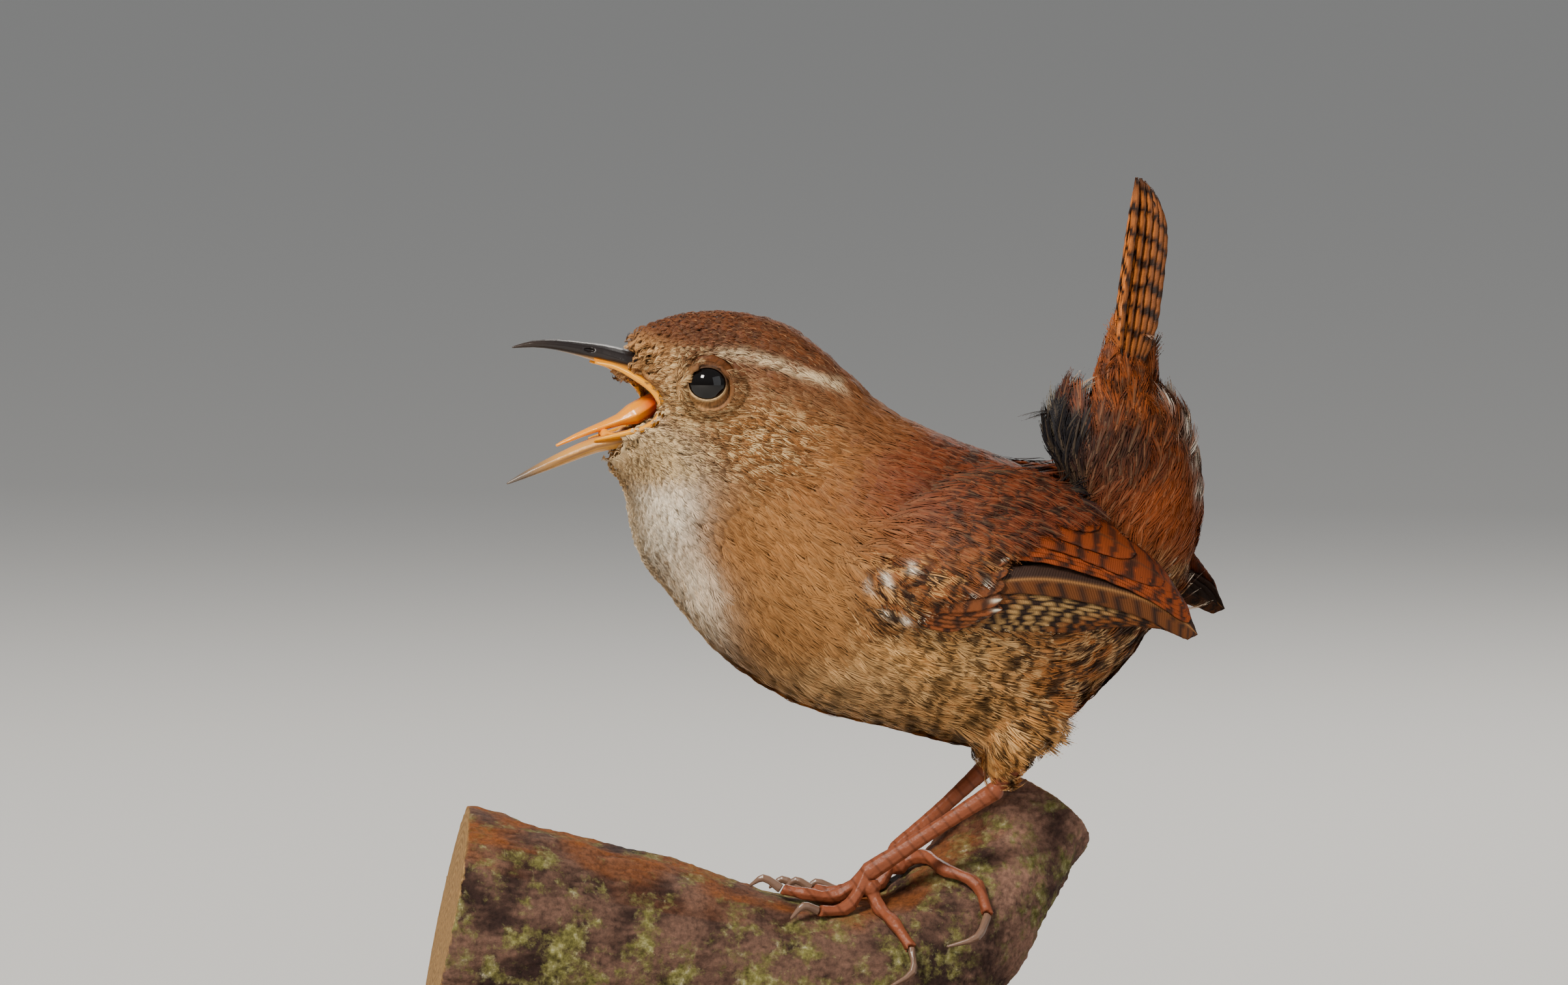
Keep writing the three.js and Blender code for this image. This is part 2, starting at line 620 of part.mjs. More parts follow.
function toeLine(side, name) {
  const root = name === "hallux" ? sole(side) : LEG[side].foot.clone();
  return [root, ...TOES[side][name].map((p) => onPerch(V(...p), TOE_RADIUS * 1.15))];
}

function toe(side, name, grow = 0) {
  const points = toeLine(side, name);
  const count = points.length - 1;
  const radius = points.map((_, i) => TOE_RADIUS * (1.15 - 0.3 * (i / count)));
  const knuckles = (t) => 1 + 0.13 * Math.cos(2 * Math.PI * t * count);
  return loft(tubeSections(points, radius, radius), 6, 3 + 3 * count, { grow, wave: grow ? null : knuckles });
}

function claw(side, name, grow = 0) {
  const start = toeLine(side, name).pop();
  const [middle, tip] = CLAWS[side][name].map((p) => V(...p));
  const points = [start, onPerch(middle, TOE_RADIUS + 0.9), onPerch(tip, 0.42)];
  const sections = tubeSections(points, [0.52, 0.42, 0.1], [0.4, 0.32, 0.1]);
  return loft(sections, 6, 8, { grow });
}

// Stand: a flat wooden base and two metal rods into the underside of the branch.
function standBase() {
  const { length, width, height, corner, bevel } = BASE;
  const [a, b] = [length / 2 - bevel, width / 2 - bevel];
  const outline = new THREE.Shape();
  outline.absarc(a - corner, b - corner, corner, 0, Math.PI / 2);
  outline.absarc(-a + corner, b - corner, corner, Math.PI / 2, Math.PI);
  outline.absarc(-a + corner, -b + corner, corner, Math.PI, 1.5 * Math.PI);
  outline.absarc(a - corner, -b + corner, corner, 1.5 * Math.PI, 2 * Math.PI);
  const geometry = new THREE.ExtrudeGeometry(outline, {
    depth: height - 2 * bevel,
    bevelThickness: bevel,
    bevelSize: bevel,
    bevelSegments: 1,
    curveSegments: 4,
  });
  geometry.translate(0, 0, bevel);
  return solidOf(geometry);
}

function rod(x, grow = 0) {
  const low = BASE.height - ROD_SUNK - grow;
  const high = onPerch(V(x, 0, 0), 0).z + ROD_SUNK + grow;
  const geometry = new THREE.CylinderGeometry(ROD_RADIUS + grow, ROD_RADIUS + grow, high - low, 16);
  geometry.rotateX(Math.PI / 2);
  geometry.translate(x, 0, (low + high) / 2);
  return solidOf(geometry);
}

// Finishes, one for each kind of surface.
const finish = (color, roughness, metalness = 0) => new THREE.MeshStandardMaterial({ color, roughness, metalness });
const PLUMAGE = finish(0x9a6a3c, 0.8);
const FLIGHT = finish(0x8a4a20, 0.7);
const HORN = finish(0x2e2622, 0.35);
const PALE_HORN = finish(0xc79a5a, 0.4);
const MOUTH = finish(0xe8a21c, 0.35);
const EYE_BLACK = finish(0x120a06, 0.08);
const LEG_SKIN = finish(0x9a5a3c, 0.5);
const CLAW_HORN = finish(0x5a4436, 0.4);
const BARK = finish(0x6b6a44, 0.9);
const WOOD = finish(0x3a2416, 0.45);
const METAL = finish(0xb08d4a, 0.3, 1);

// The flesh as one solid, cleared for what is set into it, and parted at the neck, rump and thighs.
const wingBeds = [wingForm(-GAP, 8, { margin: 0.5 })];
wingBeds.push(mirrorWing(wingBeds[0]));
const tarsi = { left: tarsus(LEG.left), right: tarsus(LEG.right) };

let flesh = joined([body, tailBase, lids(-1), lids(1)]);
flesh = flesh.subtract(joined([mouth(), eyeBall(-1, GAP), eyeBall(1, GAP)]));
flesh = flesh.subtract(mandible(UPPER_BILL, GAP)).subtract(mandible(LOWER_BILL, GAP));
flesh = turned(flesh);
flesh = flesh.subtract(joined(wingBeds));
flesh = flesh.subtract(tibia(LEG.left, GAP)).subtract(tibia(LEG.right, GAP));

const HEAD_CUT = [[-4.4, 102.6], [-26.4, 85.4]];
const NECK_CUT = [[3.4, 96.4], [-21.6, 74.6]];
const RUMP_CUT = [[19.0, 89.7], [34.7, 78.6]];
const TAIL_CUT = [[18.6, 96.6], [38.0, 95.0]];
const parted = flesh.subtract(joined([HEAD_CUT, NECK_CUT, RUMP_CUT, TAIL_CUT].map(([a, b]) => cutAcross(a, b))));
const SCRAP = 20; // anything smaller that the cuts leave is dropped, in cubic millimetres
const pieces = parted.decompose().filter((m) => m.volume() > SCRAP);
const head = pieceNear(pieces, -17, 97);
const neck = pieceNear(pieces, -11, 88);
const torso = pieceNear(pieces, 6, 76);
const rump = pieceNear(pieces, 28, 87);
const coverts = pieceNear(pieces, 29, 100);

node("head", head, PLUMAGE);
node("neck", neck, PLUMAGE);
node("torso", torso, PLUMAGE);
node("rump", rump, PLUMAGE);
const rectrices = [-1, 1].flatMap((side) => Array.from({ length: PAIRS }, (_, pair) => rectrix(side, pair)));
node("tail", coverts.add(joined(rectrices)), FLIGHT);
node("eye_left", turned(eyeBall(-1)), EYE_BLACK);
node("eye_right", turned(eyeBall(1)), EYE_BLACK);
const upperBill = mandible(UPPER_BILL).subtract(joined([nostril(-1), nostril(1)]));
const lowerBill = mandible(LOWER_BILL);
const tongue = midlineLoft(TONGUE, 10, 10);
node("bill_upper", turned(upperBill), HORN);
node("bill_lower", turned(lowerBill), PALE_HORN);
const tongueBed = turned(mandible(LOWER_BILL, GAP)).add(largest(flesh));
node("tongue", turned(tongue).subtract(tongueBed), MOUTH);

const arm = wingForm(0.05, 1.5, { share: 0.84, length: 0.8 });
const wing = arm.add(joined(wingFeathers()));
node("wing_left", wing, FLIGHT);
node("wing_right", mirrorWing(wing), FLIGHT);

const perchClear = perchForm(GAP);
for (const side of ["left", "right"]) {
  const names = Object.keys(TOES[side]);
  const toes = joined([soleBall(side), ...names.map((name) => toe(side, name))]);
  const leg = LEG[side];
  const claws = Object.fromEntries(names.map((name) => [name, claw(side, name).subtract(perchClear)]));
  const grownClaws = joined(names.map((name) => claw(side, name, GAP)));
  node("tibia_" + side, tibia(leg).subtract(tarsus(leg, GAP)), PLUMAGE);
  node("tarsus_" + side, tarsi[side], LEG_SKIN);
  node("foot_" + side, toes.subtract(tarsus(leg, GAP)).subtract(grownClaws).subtract(perchClear), LEG_SKIN);
  for (const name of names) node("claw_" + side + "_" + name, claws[name], CLAW_HORN);
}

const rods = ROD_X.map((x) => rod(x));
const rodHoles = joined(ROD_X.map((x) => rod(x, GAP)));
node("perch", perchForm(0).subtract(rodHoles), BARK);
node("stand_base", standBase().subtract(rodHoles), WOOD);
rods.forEach((r, i) => node("stand_rod_" + (i + 1), r, METAL));

export default group;
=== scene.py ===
import math

import bpy
import numpy as np
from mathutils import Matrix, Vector, noise
from mathutils.bvhtree import BVHTree


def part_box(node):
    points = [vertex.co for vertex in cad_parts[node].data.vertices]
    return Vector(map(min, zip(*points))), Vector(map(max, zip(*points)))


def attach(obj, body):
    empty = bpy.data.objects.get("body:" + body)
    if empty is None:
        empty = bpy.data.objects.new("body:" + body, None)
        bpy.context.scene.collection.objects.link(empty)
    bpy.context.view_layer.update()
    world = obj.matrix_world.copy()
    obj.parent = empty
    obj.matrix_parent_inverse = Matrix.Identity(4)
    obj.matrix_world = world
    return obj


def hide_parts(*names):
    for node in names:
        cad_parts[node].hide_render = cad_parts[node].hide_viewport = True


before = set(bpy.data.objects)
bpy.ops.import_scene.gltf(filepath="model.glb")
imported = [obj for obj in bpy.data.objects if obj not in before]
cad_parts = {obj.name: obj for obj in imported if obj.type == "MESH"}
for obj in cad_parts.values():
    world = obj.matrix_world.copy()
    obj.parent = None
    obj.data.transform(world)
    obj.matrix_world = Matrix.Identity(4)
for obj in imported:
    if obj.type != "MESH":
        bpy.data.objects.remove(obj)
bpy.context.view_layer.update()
BODY = "root"
MM = 0.001

# The camera stands level with the bird's left side, two metres off, and looks down by a few degrees.
# It keeps the photograph's framing: so many pixels to the millimetre, on a frame so many pixels wide.
PHOTO_WIDTH = 2408
PIXELS_PER_MM = 13.7
CAMERA_TARGET = Vector((-9.9, 0.0, 87.1)) * MM
CAMERA_DISTANCE = 2.0
CAMERA_DROP = math.radians(3.0)
camera = bpy.data.objects.new("camera", bpy.data.cameras.new("camera"))
bpy.context.collection.objects.link(camera)
camera.data.lens = camera.data.sensor_width * CAMERA_DISTANCE / (PHOTO_WIDTH / PIXELS_PER_MM * MM)
camera.location = CAMERA_TARGET + CAMERA_DISTANCE * Vector((0, -math.cos(CAMERA_DROP), math.sin(CAMERA_DROP)))
camera.rotation_euler = (math.pi / 2 - CAMERA_DROP, 0, 0)
bpy.context.scene.camera = camera


# The floor is a pale table top that carries on out of sight, under a pale sky.
# A soft light stands high on the left behind the camera, a weak one fills the right, one warms the back.
FLOOR_SIZE = 60.0
LIGHT_AIM = Vector((0, 0, 0.08))
SKY_STOPS = ((0.0, (0.54, 0.55, 0.56)), (0.35, (0.86, 0.88, 0.90)))
SKY_STRENGTH = 0.36


def new_node(tree, kind, **inputs):
    """A node of a material or of the sky, with some of its inputs set."""
    node = tree.nodes.new("ShaderNode" + kind)
    for name, value in inputs.items():
        node.inputs[name].default_value = value
    return node


def ramp_node(tree, source, stops):
    """A value turned into colours, by stops of a position and a colour."""
    ramp = new_node(tree, "ValToRGB")
    elements = ramp.color_ramp.elements
    for element, (position, colour) in zip(elements, (stops[0], stops[-1])):
        element.position = position
        element.color = (*colour, 1)
    for position, colour in stops[1:-1]:
        elements.new(position).color = (*colour, 1)
    tree.links.new(source, ramp.inputs["Fac"])
    return ramp.outputs["Color"]


def material_of(name, colour, roughness, specular=0.5):
    """A plain finish of one colour."""
    material = bpy.data.materials.new(name)
    material.use_nodes = True
    shader = material.node_tree.nodes["Principled BSDF"]
    shader.inputs["Base Color"].default_value = (*colour, 1)
    shader.inputs["Roughness"].default_value = roughness
    shader.inputs["Specular IOR Level"].default_value = specular
    return material


bpy.ops.object.select_all(action="DESELECT")
bpy.ops.mesh.primitive_plane_add(size=FLOOR_SIZE, location=(0, 0, 0))
floor = bpy.context.object
floor.name = "floor"
floor.data.materials.append(material_of("pale_table", (0.66, 0.65, 0.63), 0.8, 0.2))


def area_light(name, place, size, energy, colour):
    """A soft light of a size and a strength, aimed at the bird."""
    data = bpy.data.lights.new(name, "AREA")
    data.size = size
    data.energy = energy
    data.color = colour
    lamp = bpy.data.objects.new(name, data)
    lamp.location = place
    lamp.rotation_euler = (LIGHT_AIM - Vector(place)).to_track_quat("-Z", "Y").to_euler()
    bpy.context.collection.objects.link(lamp)


area_light("key_light", (-0.55, -0.9, 0.95), 0.3, 30.0, (1.0, 0.94, 0.86))
area_light("fill_light", (0.9, -0.7, 0.4), 0.9, 3.0, (0.94, 0.97, 1.0))
area_light("back_light", (0.3, 0.9, 0.8), 0.6, 8.0, (1.0, 0.96, 0.9))
world = bpy.data.worlds.new("studio")
world.use_nodes = True
sky = world.node_tree
height = new_node(sky, "SeparateXYZ")
sky.links.new(new_node(sky, "TexCoord").outputs["Generated"], height.inputs["Vector"])
backdrop = sky.nodes["Background"]
backdrop.inputs["Strength"].default_value = SKY_STRENGTH
sky.links.new(ramp_node(sky, height.outputs["Z"], SKY_STOPS), backdrop.inputs["Color"])
bpy.context.scene.world = world


# Skin: the bird's own body under its feathers, one closed skin over head, neck, trunk, thighs and tail base.
# It is the outer line of the plumage drawn in by the depth of the coat, and shows only between the feathers.
COAT_DEPTH = 0.75 * MM
SKIN_VOXEL = 0.42 * MM
WELD = 0.001 * MM
FLESH = ("head", "neck", "torso", "rump", "tibia_left", "tibia_right")
COVERT_CONE = {"low": 5.6, "high": 2.3, "height": 15.0, "middle": (28.4, 0.0, 97.6), "flat": 0.78, "lean": 5}


def select_only(*objects):
    """These objects selected and no others, with the first one active."""
    bpy.ops.object.select_all(action="DESELECT")
    for item in objects:
        item.select_set(True)
    bpy.context.view_layer.objects.active = objects[0]


def copy_of(node, name):
    """A copy of a CAD node at the origin, with its loose triangles merged."""
    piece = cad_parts[node].copy()
    piece.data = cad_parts[node].data.copy()
    piece.name = name
    piece.data.name = name
    piece.parent = None
    piece.matrix_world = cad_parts[node].matrix_world
    bpy.context.collection.objects.link(piece)
    piece.data.materials.clear()
    for key in list(piece.keys()):
        del piece[key]
    select_only(piece)
    bpy.ops.object.transform_apply(location=True, rotation=True, scale=True)
    bpy.ops.object.mode_set(mode="EDIT")
    bpy.ops.mesh.select_all(action="SELECT")
    bpy.ops.mesh.remove_doubles(threshold=WELD)
    bpy.ops.object.mode_set(mode="OBJECT")
    return piece


def remeshed(piece, voxel, rounds):
    """One closed surface of even voxels over a piece, eased by rounds of smoothing."""
    select_only(piece)
    remesh = piece.modifiers.new("remesh", "REMESH")
    remesh.mode = "VOXEL"
    remesh.voxel_size = voxel
    remesh.use_smooth_shade = True
    bpy.ops.object.modifier_apply(modifier="remesh")
    ease = piece.modifiers.new("ease", "SMOOTH")
    ease.iterations = rounds
    bpy.ops.object.modifier_apply(modifier="ease")
    bpy.ops.object.shade_smooth()


bpy.ops.object.select_all(action="DESELECT")
bpy.ops.mesh.primitive_cone_add(
    vertices=32, radius1=COVERT_CONE["low"] * MM, radius2=COVERT_CONE["high"] * MM,
    depth=COVERT_CONE["height"] * MM, location=[value * MM for value in COVERT_CONE["middle"]],
    rotation=(0, math.radians(COVERT_CONE["lean"]), 0))
covert_bulk = bpy.context.object
covert_bulk.scale = (1.0, COVERT_CONE["flat"], 1.0)
bpy.ops.object.transform_apply(location=True, rotation=True, scale=True)
flesh_copies = [copy_of(node, "flesh_" + node) for node in FLESH]
select_only(flesh_copies[0], *flesh_copies[1:], covert_bulk)
bpy.ops.object.join()
skin = bpy.context.object
skin.name = "skin"
remeshed(skin, SKIN_VOXEL, 3)
draw_in = skin.modifiers.new("draw_in", "DISPLACE")
draw_in.mid_level = 0.0
draw_in.strength = -COAT_DEPTH
bpy.ops.object.modifier_apply(modifier="draw_in")
remeshed(skin, SKIN_VOXEL, 4)
bpy.ops.object.mode_set(mode="EDIT")
bpy.ops.mesh.select_all(action="SELECT")
bpy.ops.mesh.quads_convert_to_tris()
bpy.ops.uv.smart_project(angle_limit=math.radians(72), island_margin=0.004)
bpy.ops.object.mode_set(mode="OBJECT")
skin.data.uv_layers[0].name = "OFBake"

# The skin and every feather take their colour from one set of markings, a function of the place on the bird.
# Places are in millimetres with the head turned back straight, so that left and right are alike.
HEAD_YAW = math.radians(12)
TURN_X = -10.0
TURN_FROM = np.array((-8.8, 84.5))
TURN_TO = np.array((-15.2, 93.5))


def smooth(low, high, value):
    """0 up to low and 1 from high on, with a soft step between them."""
    t = np.clip((value - low) / (high - low), 0, 1)
    return t * t * (3 - 2 * t)


def turn_share(x, z):
    """How much a place of the profile turns with the head: 0 below the neck, 1 on the head."""
    along = TURN_TO - TURN_FROM
    return smooth(0, 1, ((x - TURN_FROM[0]) * along[0] + (z - TURN_FROM[1]) * along[1]) / (along @ along))


def straightened(points):
    """Places in millimetres with the head turned back straight."""
    x, y, z = points.T
    angle = HEAD_YAW * turn_share(x, z)
    for _ in range(4):
        sine, cosine, slope = np.sin(angle), np.cos(angle), np.tan(angle)
        straight_y = (y - (x - TURN_X) * slope) / (cosine + sine * slope)
        straight_x = x + straight_y * sine
        angle = HEAD_YAW * turn_share(straight_x, z)
    return np.stack([straight_x, straight_y, z], axis=1)


def linear(hex_colour):
    """A colour as the shader takes it, from the six hex digits it is known by."""
    value = np.array([int(hex_colour[i:i + 2], 16) for i in (0, 2, 4)]) / 255
    return np.where(value < 0.04045, value / 12.92, ((value + 0.055) / 1.055) ** 2.4)


# Each patch of colour: its place in the profile, its reach back and up, its colour, and how strong it is.
PATCHES = (
    ((-20, 107), (13, 4.5), "603218", 1.0),
    ((-8, 103), (9, 5.0), "66371a", 1.0),
    ((-3, 97), (8, 6.0), "6c3f1d", 0.9),
    ((6, 90), (11, 6.0), "662e12", 1.0),
    ((18, 86), (10, 6.0), "5e2810", 1.0),
    ((-10, 92), (8, 6.0), "855326", 0.9),
    ((-16, 94), (5, 4.0), "94602f", 0.8),
    ((-27, 102), (3.5, 2.6), "ba8650", 0.9),
    ((-22.5, 98), (3.5, 2.8), "ac8050", 0.8),
    ((-26.5, 91), (4.2, 3.2), "e2c496", 1.0),
    ((-25.5, 85), (3.7, 5.5), "fdf0da", 1.0),
    ((-21.5, 76), (3.9, 7.0), "f5e3c8", 1.0),
    ((-14, 84), (8, 6.0), "946436", 0.9),
    ((-8, 76), (9, 7.0), "98693a", 1.0),
    ((-4, 66), (9, 5.0), "e6b67a", 1.0),
    ((6, 62), (9, 5.0), "e4ad6a", 1.0),
    ((4, 71), (7, 5.0), "dda35e", 0.9),
    ((15, 60), (7, 6.0), "d89a54", 1.0),
    ((22, 66), (8, 6.0), "a8642c", 1.0),
    ((28, 70), (5, 6.0), "7c431d", 0.9),
    ((6, 80), (8, 5.0), "713a18", 1.0),
    ((33, 84), (5, 6.0), "7b3811", 1.0),
    ((25, 88), (5, 5.0), "5c2c12", 0.9),
    ((28, 96), (6, 6.0), "7d3b12", 1.0),
    ((28, 104), (5, 4.0), "94501f", 1.0),
)
PATCH_PLACES = np.array([p[0] for p in PATCHES], dtype=float)
PATCH_REACH = np.array([p[1] for p in PATCHES], dtype=float)
PATCH_COLOURS = np.array([linear(p[2]) for p in PATCHES])
PATCH_POWER = np.array([p[3] for p in PATCHES])
PALE = linear("ecd9b6")
SKIN_SHADE = 0.62


def ground_colour(straight):
    """The colour between the markings: the patches blended by how near they lie."""
    away = (straight[:, None, [0, 2]] - PATCH_PLACES) / PATCH_REACH
    weight = PATCH_POWER / (0.06 + (away ** 2).sum(axis=2)) ** 2.2
    return (weight @ PATCH_COLOURS) / weight.sum(axis=1, keepdims=True)


BROW_LINE = ((-19.5, -18, -15.5, -12, -8.5, -5, -3.5), (102.8, 102.8, 102.5, 101.5, 100.1, 98.8, 98.1))


def brow(straight):
    """How much a place lies on the pale brow, from above the eye back to the side of the nape."""
    x, z = straight[..., 0], straight[..., 2]
    band = np.exp(-((z - np.interp(x, *BROW_LINE)) / (0.52 + 0.012 * (x + 20))) ** 2)
    return band * smooth(-20.5, -16.5, x) * (1 - smooth(-6.0, -3.0, x))


def mouth_depth(straight):
    """How far a place lies inside the open mouth: 0 on the outside, more towards the throat."""
    x, y, z = straight.T
    upper = 101.0 - 0.62 * np.maximum(x + 30.6, 0)
    lower = 93.2 + 0.50 * np.maximum(x + 29.5, 0)
    inside = smooth(0.0, 0.5, upper - z) * smooth(0.0, 0.5, z - lower) * (1 - smooth(-24.9, -24.3, x))
    throat = np.exp(-((x + 22.5) / 2.2) ** 2 - (y / 3.4) ** 2 - ((z - 96.6) / 2.8) ** 2)
    return np.clip(inside + smooth(0.45, 0.7, throat), 0, 1)


MOUTH_YELLOW = linear("ee9406")
MOUTH_RED = linear("7d2410")


def skin_colour(points_mm):
    """The markings of the skin, which is darker than the feathers over it."""
    straight = straightened(points_mm)
    ground = ground_colour(straight) * SKIN_SHADE
    wet = mouth_depth(straight)[:, None]
    deep = smooth(-27.5, -24.0, straight[:, 0])[:, None]
    return ground * (1 - wet) + (MOUTH_YELLOW * (1 - deep) + MOUTH_RED * deep) * wet


def paint(mesh, colours):
    """Colours given to the points of a mesh as its markings."""
    layer = mesh.color_attributes.new("marking", "FLOAT_COLOR", "POINT")
    rgba = np.ones((len(mesh.vertices), 4), dtype=np.float32)
    rgba[:, :3] = colours
    layer.data.foreach_set("color", rgba.ravel())


def points_of(mesh):
    """The points of a mesh, in metres."""
    flat = np.empty(len(mesh.vertices) * 3, dtype=np.float32)
    mesh.vertices.foreach_get("co", flat)
    return flat.reshape(-1, 3).astype(float)


def bumped(tree, height, strength, distance):
    """The shader's surface raised by a height."""
    bump = new_node(tree, "Bump", Strength=strength, Distance=distance)
    tree.links.new(height, bump.inputs["Height"])
    tree.links.new(bump.outputs["Normal"], tree.nodes["Principled BSDF"].inputs["Normal"])


def noise_node(tree, scale, detail, roughness=0.5, squeeze=None):
    """Noise on the object's own coordinates, squeezed along some of them if asked."""
    texture = new_node(tree, "TexNoise", Scale=scale, Detail=detail, Roughness=roughness)
    place = new_node(tree, "TexCoord").outputs["Object"]
    if squeeze:
        mapping = new_node(tree, "Mapping", Scale=squeeze)
        tree.links.new(place, mapping.inputs["Vector"])
        place = mapping.outputs["Vector"]
    tree.links.new(place, texture.inputs["Vector"])
    return texture.outputs["Fac"]


def attribute_of(tree, name, output="Color"):
    """What the mesh says under a name, for use in its material."""
    node = new_node(tree, "Attribute")
    node.attribute_name = name
    return node.outputs[output]


def marked_material(name, roughness, grain=0.0, grain_size=900.0):
    """A finish that takes its colour from the piece's markings, with a fine grain if asked."""
    material = material_of(name, (0.5, 0.4, 0.3), roughness, 0.18)
    tree = material.node_tree
    tree.links.new(attribute_of(tree, "marking"), tree.nodes["Principled BSDF"].inputs["Base Color"])
    if grain:
        bumped(tree, noise_node(tree, grain_size, 4.0), grain, 0.2 * MM)
    return material


paint(skin.data, skin_colour(points_of(skin.data) / MM))
skin.data.materials.append(marked_material("bird_skin", 0.6, grain=0.4))
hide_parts(*FLESH)
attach(skin, BODY)

# Wings: folded flight feathers and coverts over a curved sheet on each flank, in tiers like roof tiles.
# Each feather is a shaft with two webs, its outer edge proud of the next, barred dark on rufous.
# Each row of the sheet: distance back, then how far out and up its lower edge, middle and upper edge lie.
WING_ROWS = (
    (-2.6, (13.2, 76.4), (13.3, 78.0), (12.8, 79.6)),
    (1.5, (14.4, 74.4), (14.7, 78.8), (12.9, 83.2)),
    (6.0, (15.7, 73.2), (16.0, 79.6), (11.9, 86.0)),
    (12.0, (16.2, 73.0), (16.0, 80.4), (9.4, 88.0)),
    (18.0, (15.0, 73.2), (14.4, 80.0), (7.4, 87.0)),
    (24.0, (12.6, 72.9), (12.0, 78.2), (6.6, 83.6)),
    (30.0, (10.2, 72.2), (10.0, 75.9), (7.2, 79.6)),
    (34.0, (8.9, 71.4), (8.8, 73.3), (7.8, 75.3)),
    (35.9, (8.4, 71.0), (8.4, 71.5), (8.2, 72.1)),
)
FAR_REACH = np.array((2.9, 0.0, 1.5))
FAR_SHARE = 1.25
WING_END = 40.0


def curve_through(points):
    """A smooth curve through points, asked by a share from 0 at the first to 1 at the last."""
    points = np.asarray(points, dtype=float)
    padded = np.vstack([2 * points[0] - points[1], points, 2 * points[-1] - points[-2]])

    def at(share):
        share = np.clip(np.asarray(share, dtype=float), 0, 1) * (len(points) - 1)
        first = np.minimum(share.astype(int), len(points) - 2)
        t = (share - first)[..., None]
        p0, p1, p2, p3 = (padded[first + k] for k in range(4))
        near, far = (p2 - p0) / 2, (p3 - p1) / 2
        return ((2 * t**3 - 3 * t**2 + 1) * p1 + (t**3 - 2 * t**2 + t) * near
                + (-2 * t**3 + 3 * t**2) * p2 + (t**3 - t**2) * far)

    return at


wing_low, wing_mid, wing_top = (
    curve_through([(row[0], -row[k][0], row[k][1]) for row in WING_ROWS]) for k in (1, 2, 3))


def wing_sheet(along, across):
    """A place on the sheet: along from 0 in front to 1, across from -1 at its lower edge to 1."""
    across = np.asarray(across)[..., None]
    return (wing_low(along) * across * (across - 1) / 2 + wing_mid(along) * (1 - across**2)
            + wing_top(along) * across * (across + 1) / 2)


def wing_point(along, across, lift):
    """A place lifted straight out from the sheet."""
    u = np.clip(along, 0.02, 0.98)
    ahead = wing_sheet(u + 0.02, across) - wing_sheet(u - 0.02, across)
    upward = wing_sheet(u, across + 0.05) - wing_sheet(u, across - 0.05)
    out = np.cross(ahead, upward)
    out = out / np.linalg.norm(out, axis=-1, keepdims=True)
    out = np.where(out[..., 1:2] > 0, -out, out)
    return wing_sheet(along, across) + out * lift[..., None]


def placed(points, right):
    """Points of the left wing as they are, or mirrored and drawn out to the tip of the right wing."""
    if not right:
        return points
    share = smooth(0, WING_END, points[..., 0]) ** 1.5 * FAR_SHARE
    return points * np.array((1, -1, 1)) + FAR_REACH * share[..., None]


def wing_half(along):
    """Half the breadth of the sheet, in millimetres."""
    return np.linalg.norm(wing_top(along) - wing_low(along), axis=-1) / 2


def vane_width(t, root=0.55, roundness=2.2):
    """Share of a feather's full width at each share of its length: narrow at the root, round at the tip."""
    tip = np.clip((t - 0.6) / 0.4, 0, 1)
    return (root + (1 - root) * smooth(0, 0.4, t)) * np.maximum(1 - tip**roundness, 0.0) ** 0.6


# Tiers of wing feathers, in the order in which they are laid: how many, where the first and the last run
# from and to (along, across), width, lift above the sheet, and the pattern each is marked with.
WING_TIERS = (
    (7, ((0.27, -0.74), (0.66, -0.90)), ((0.30, -0.46), (0.95, -0.16)), 1.9, (0.30, 0.66), "primary"),
    (1, ((0.30, -0.40), (1.0, 0.0)), ((0.30, -0.40), (1.0, 0.0)), 2.0, (0.85, 0.85), "long"),
    (6, ((0.28, 0.04), (0.93, 0.50)), ((0.30, 0.38), (0.84, 0.78)), 2.1, (1.00, 1.25), "secondary"),
    (3, ((0.30, 0.35), (0.80, 0.66)), ((0.30, 0.72), (0.64, 0.90)), 2.7, (1.35, 1.65), "tertial"),
    (5, ((0.16, -0.60), (0.34, -0.92)), ((0.16, -0.44), (0.42, -0.70)), 1.3, (1.00, 1.20), "spotted"),
    (8, ((0.15, -0.42), (0.42, -0.56)), ((0.17, 0.55), (0.46, 0.66)), 1.7, (1.35, 1.55), "covert"),
    (7, ((0.08, -0.42), (0.26, -0.55)), ((0.09, 0.50), (0.30, 0.62)), 1.4, (1.50, 1.60), "covert"),
)
RUFOUS = linear("7c3611")
RUFOUS_PALE = linear("a55e28")
BAR = linear("23140c")
BUFF = linear("c89c60")
INNER = linear("2a1b14")
SPOT = linear("efe2c6")
SHAFT_PALE = linear("8f6236")
SHAFT_DARK = linear("4a2914")
BARS = {"primary": 12, "long": 15, "secondary": 12, "tertial": 9, "spotted": 5, "covert": 8, "tail": 9}


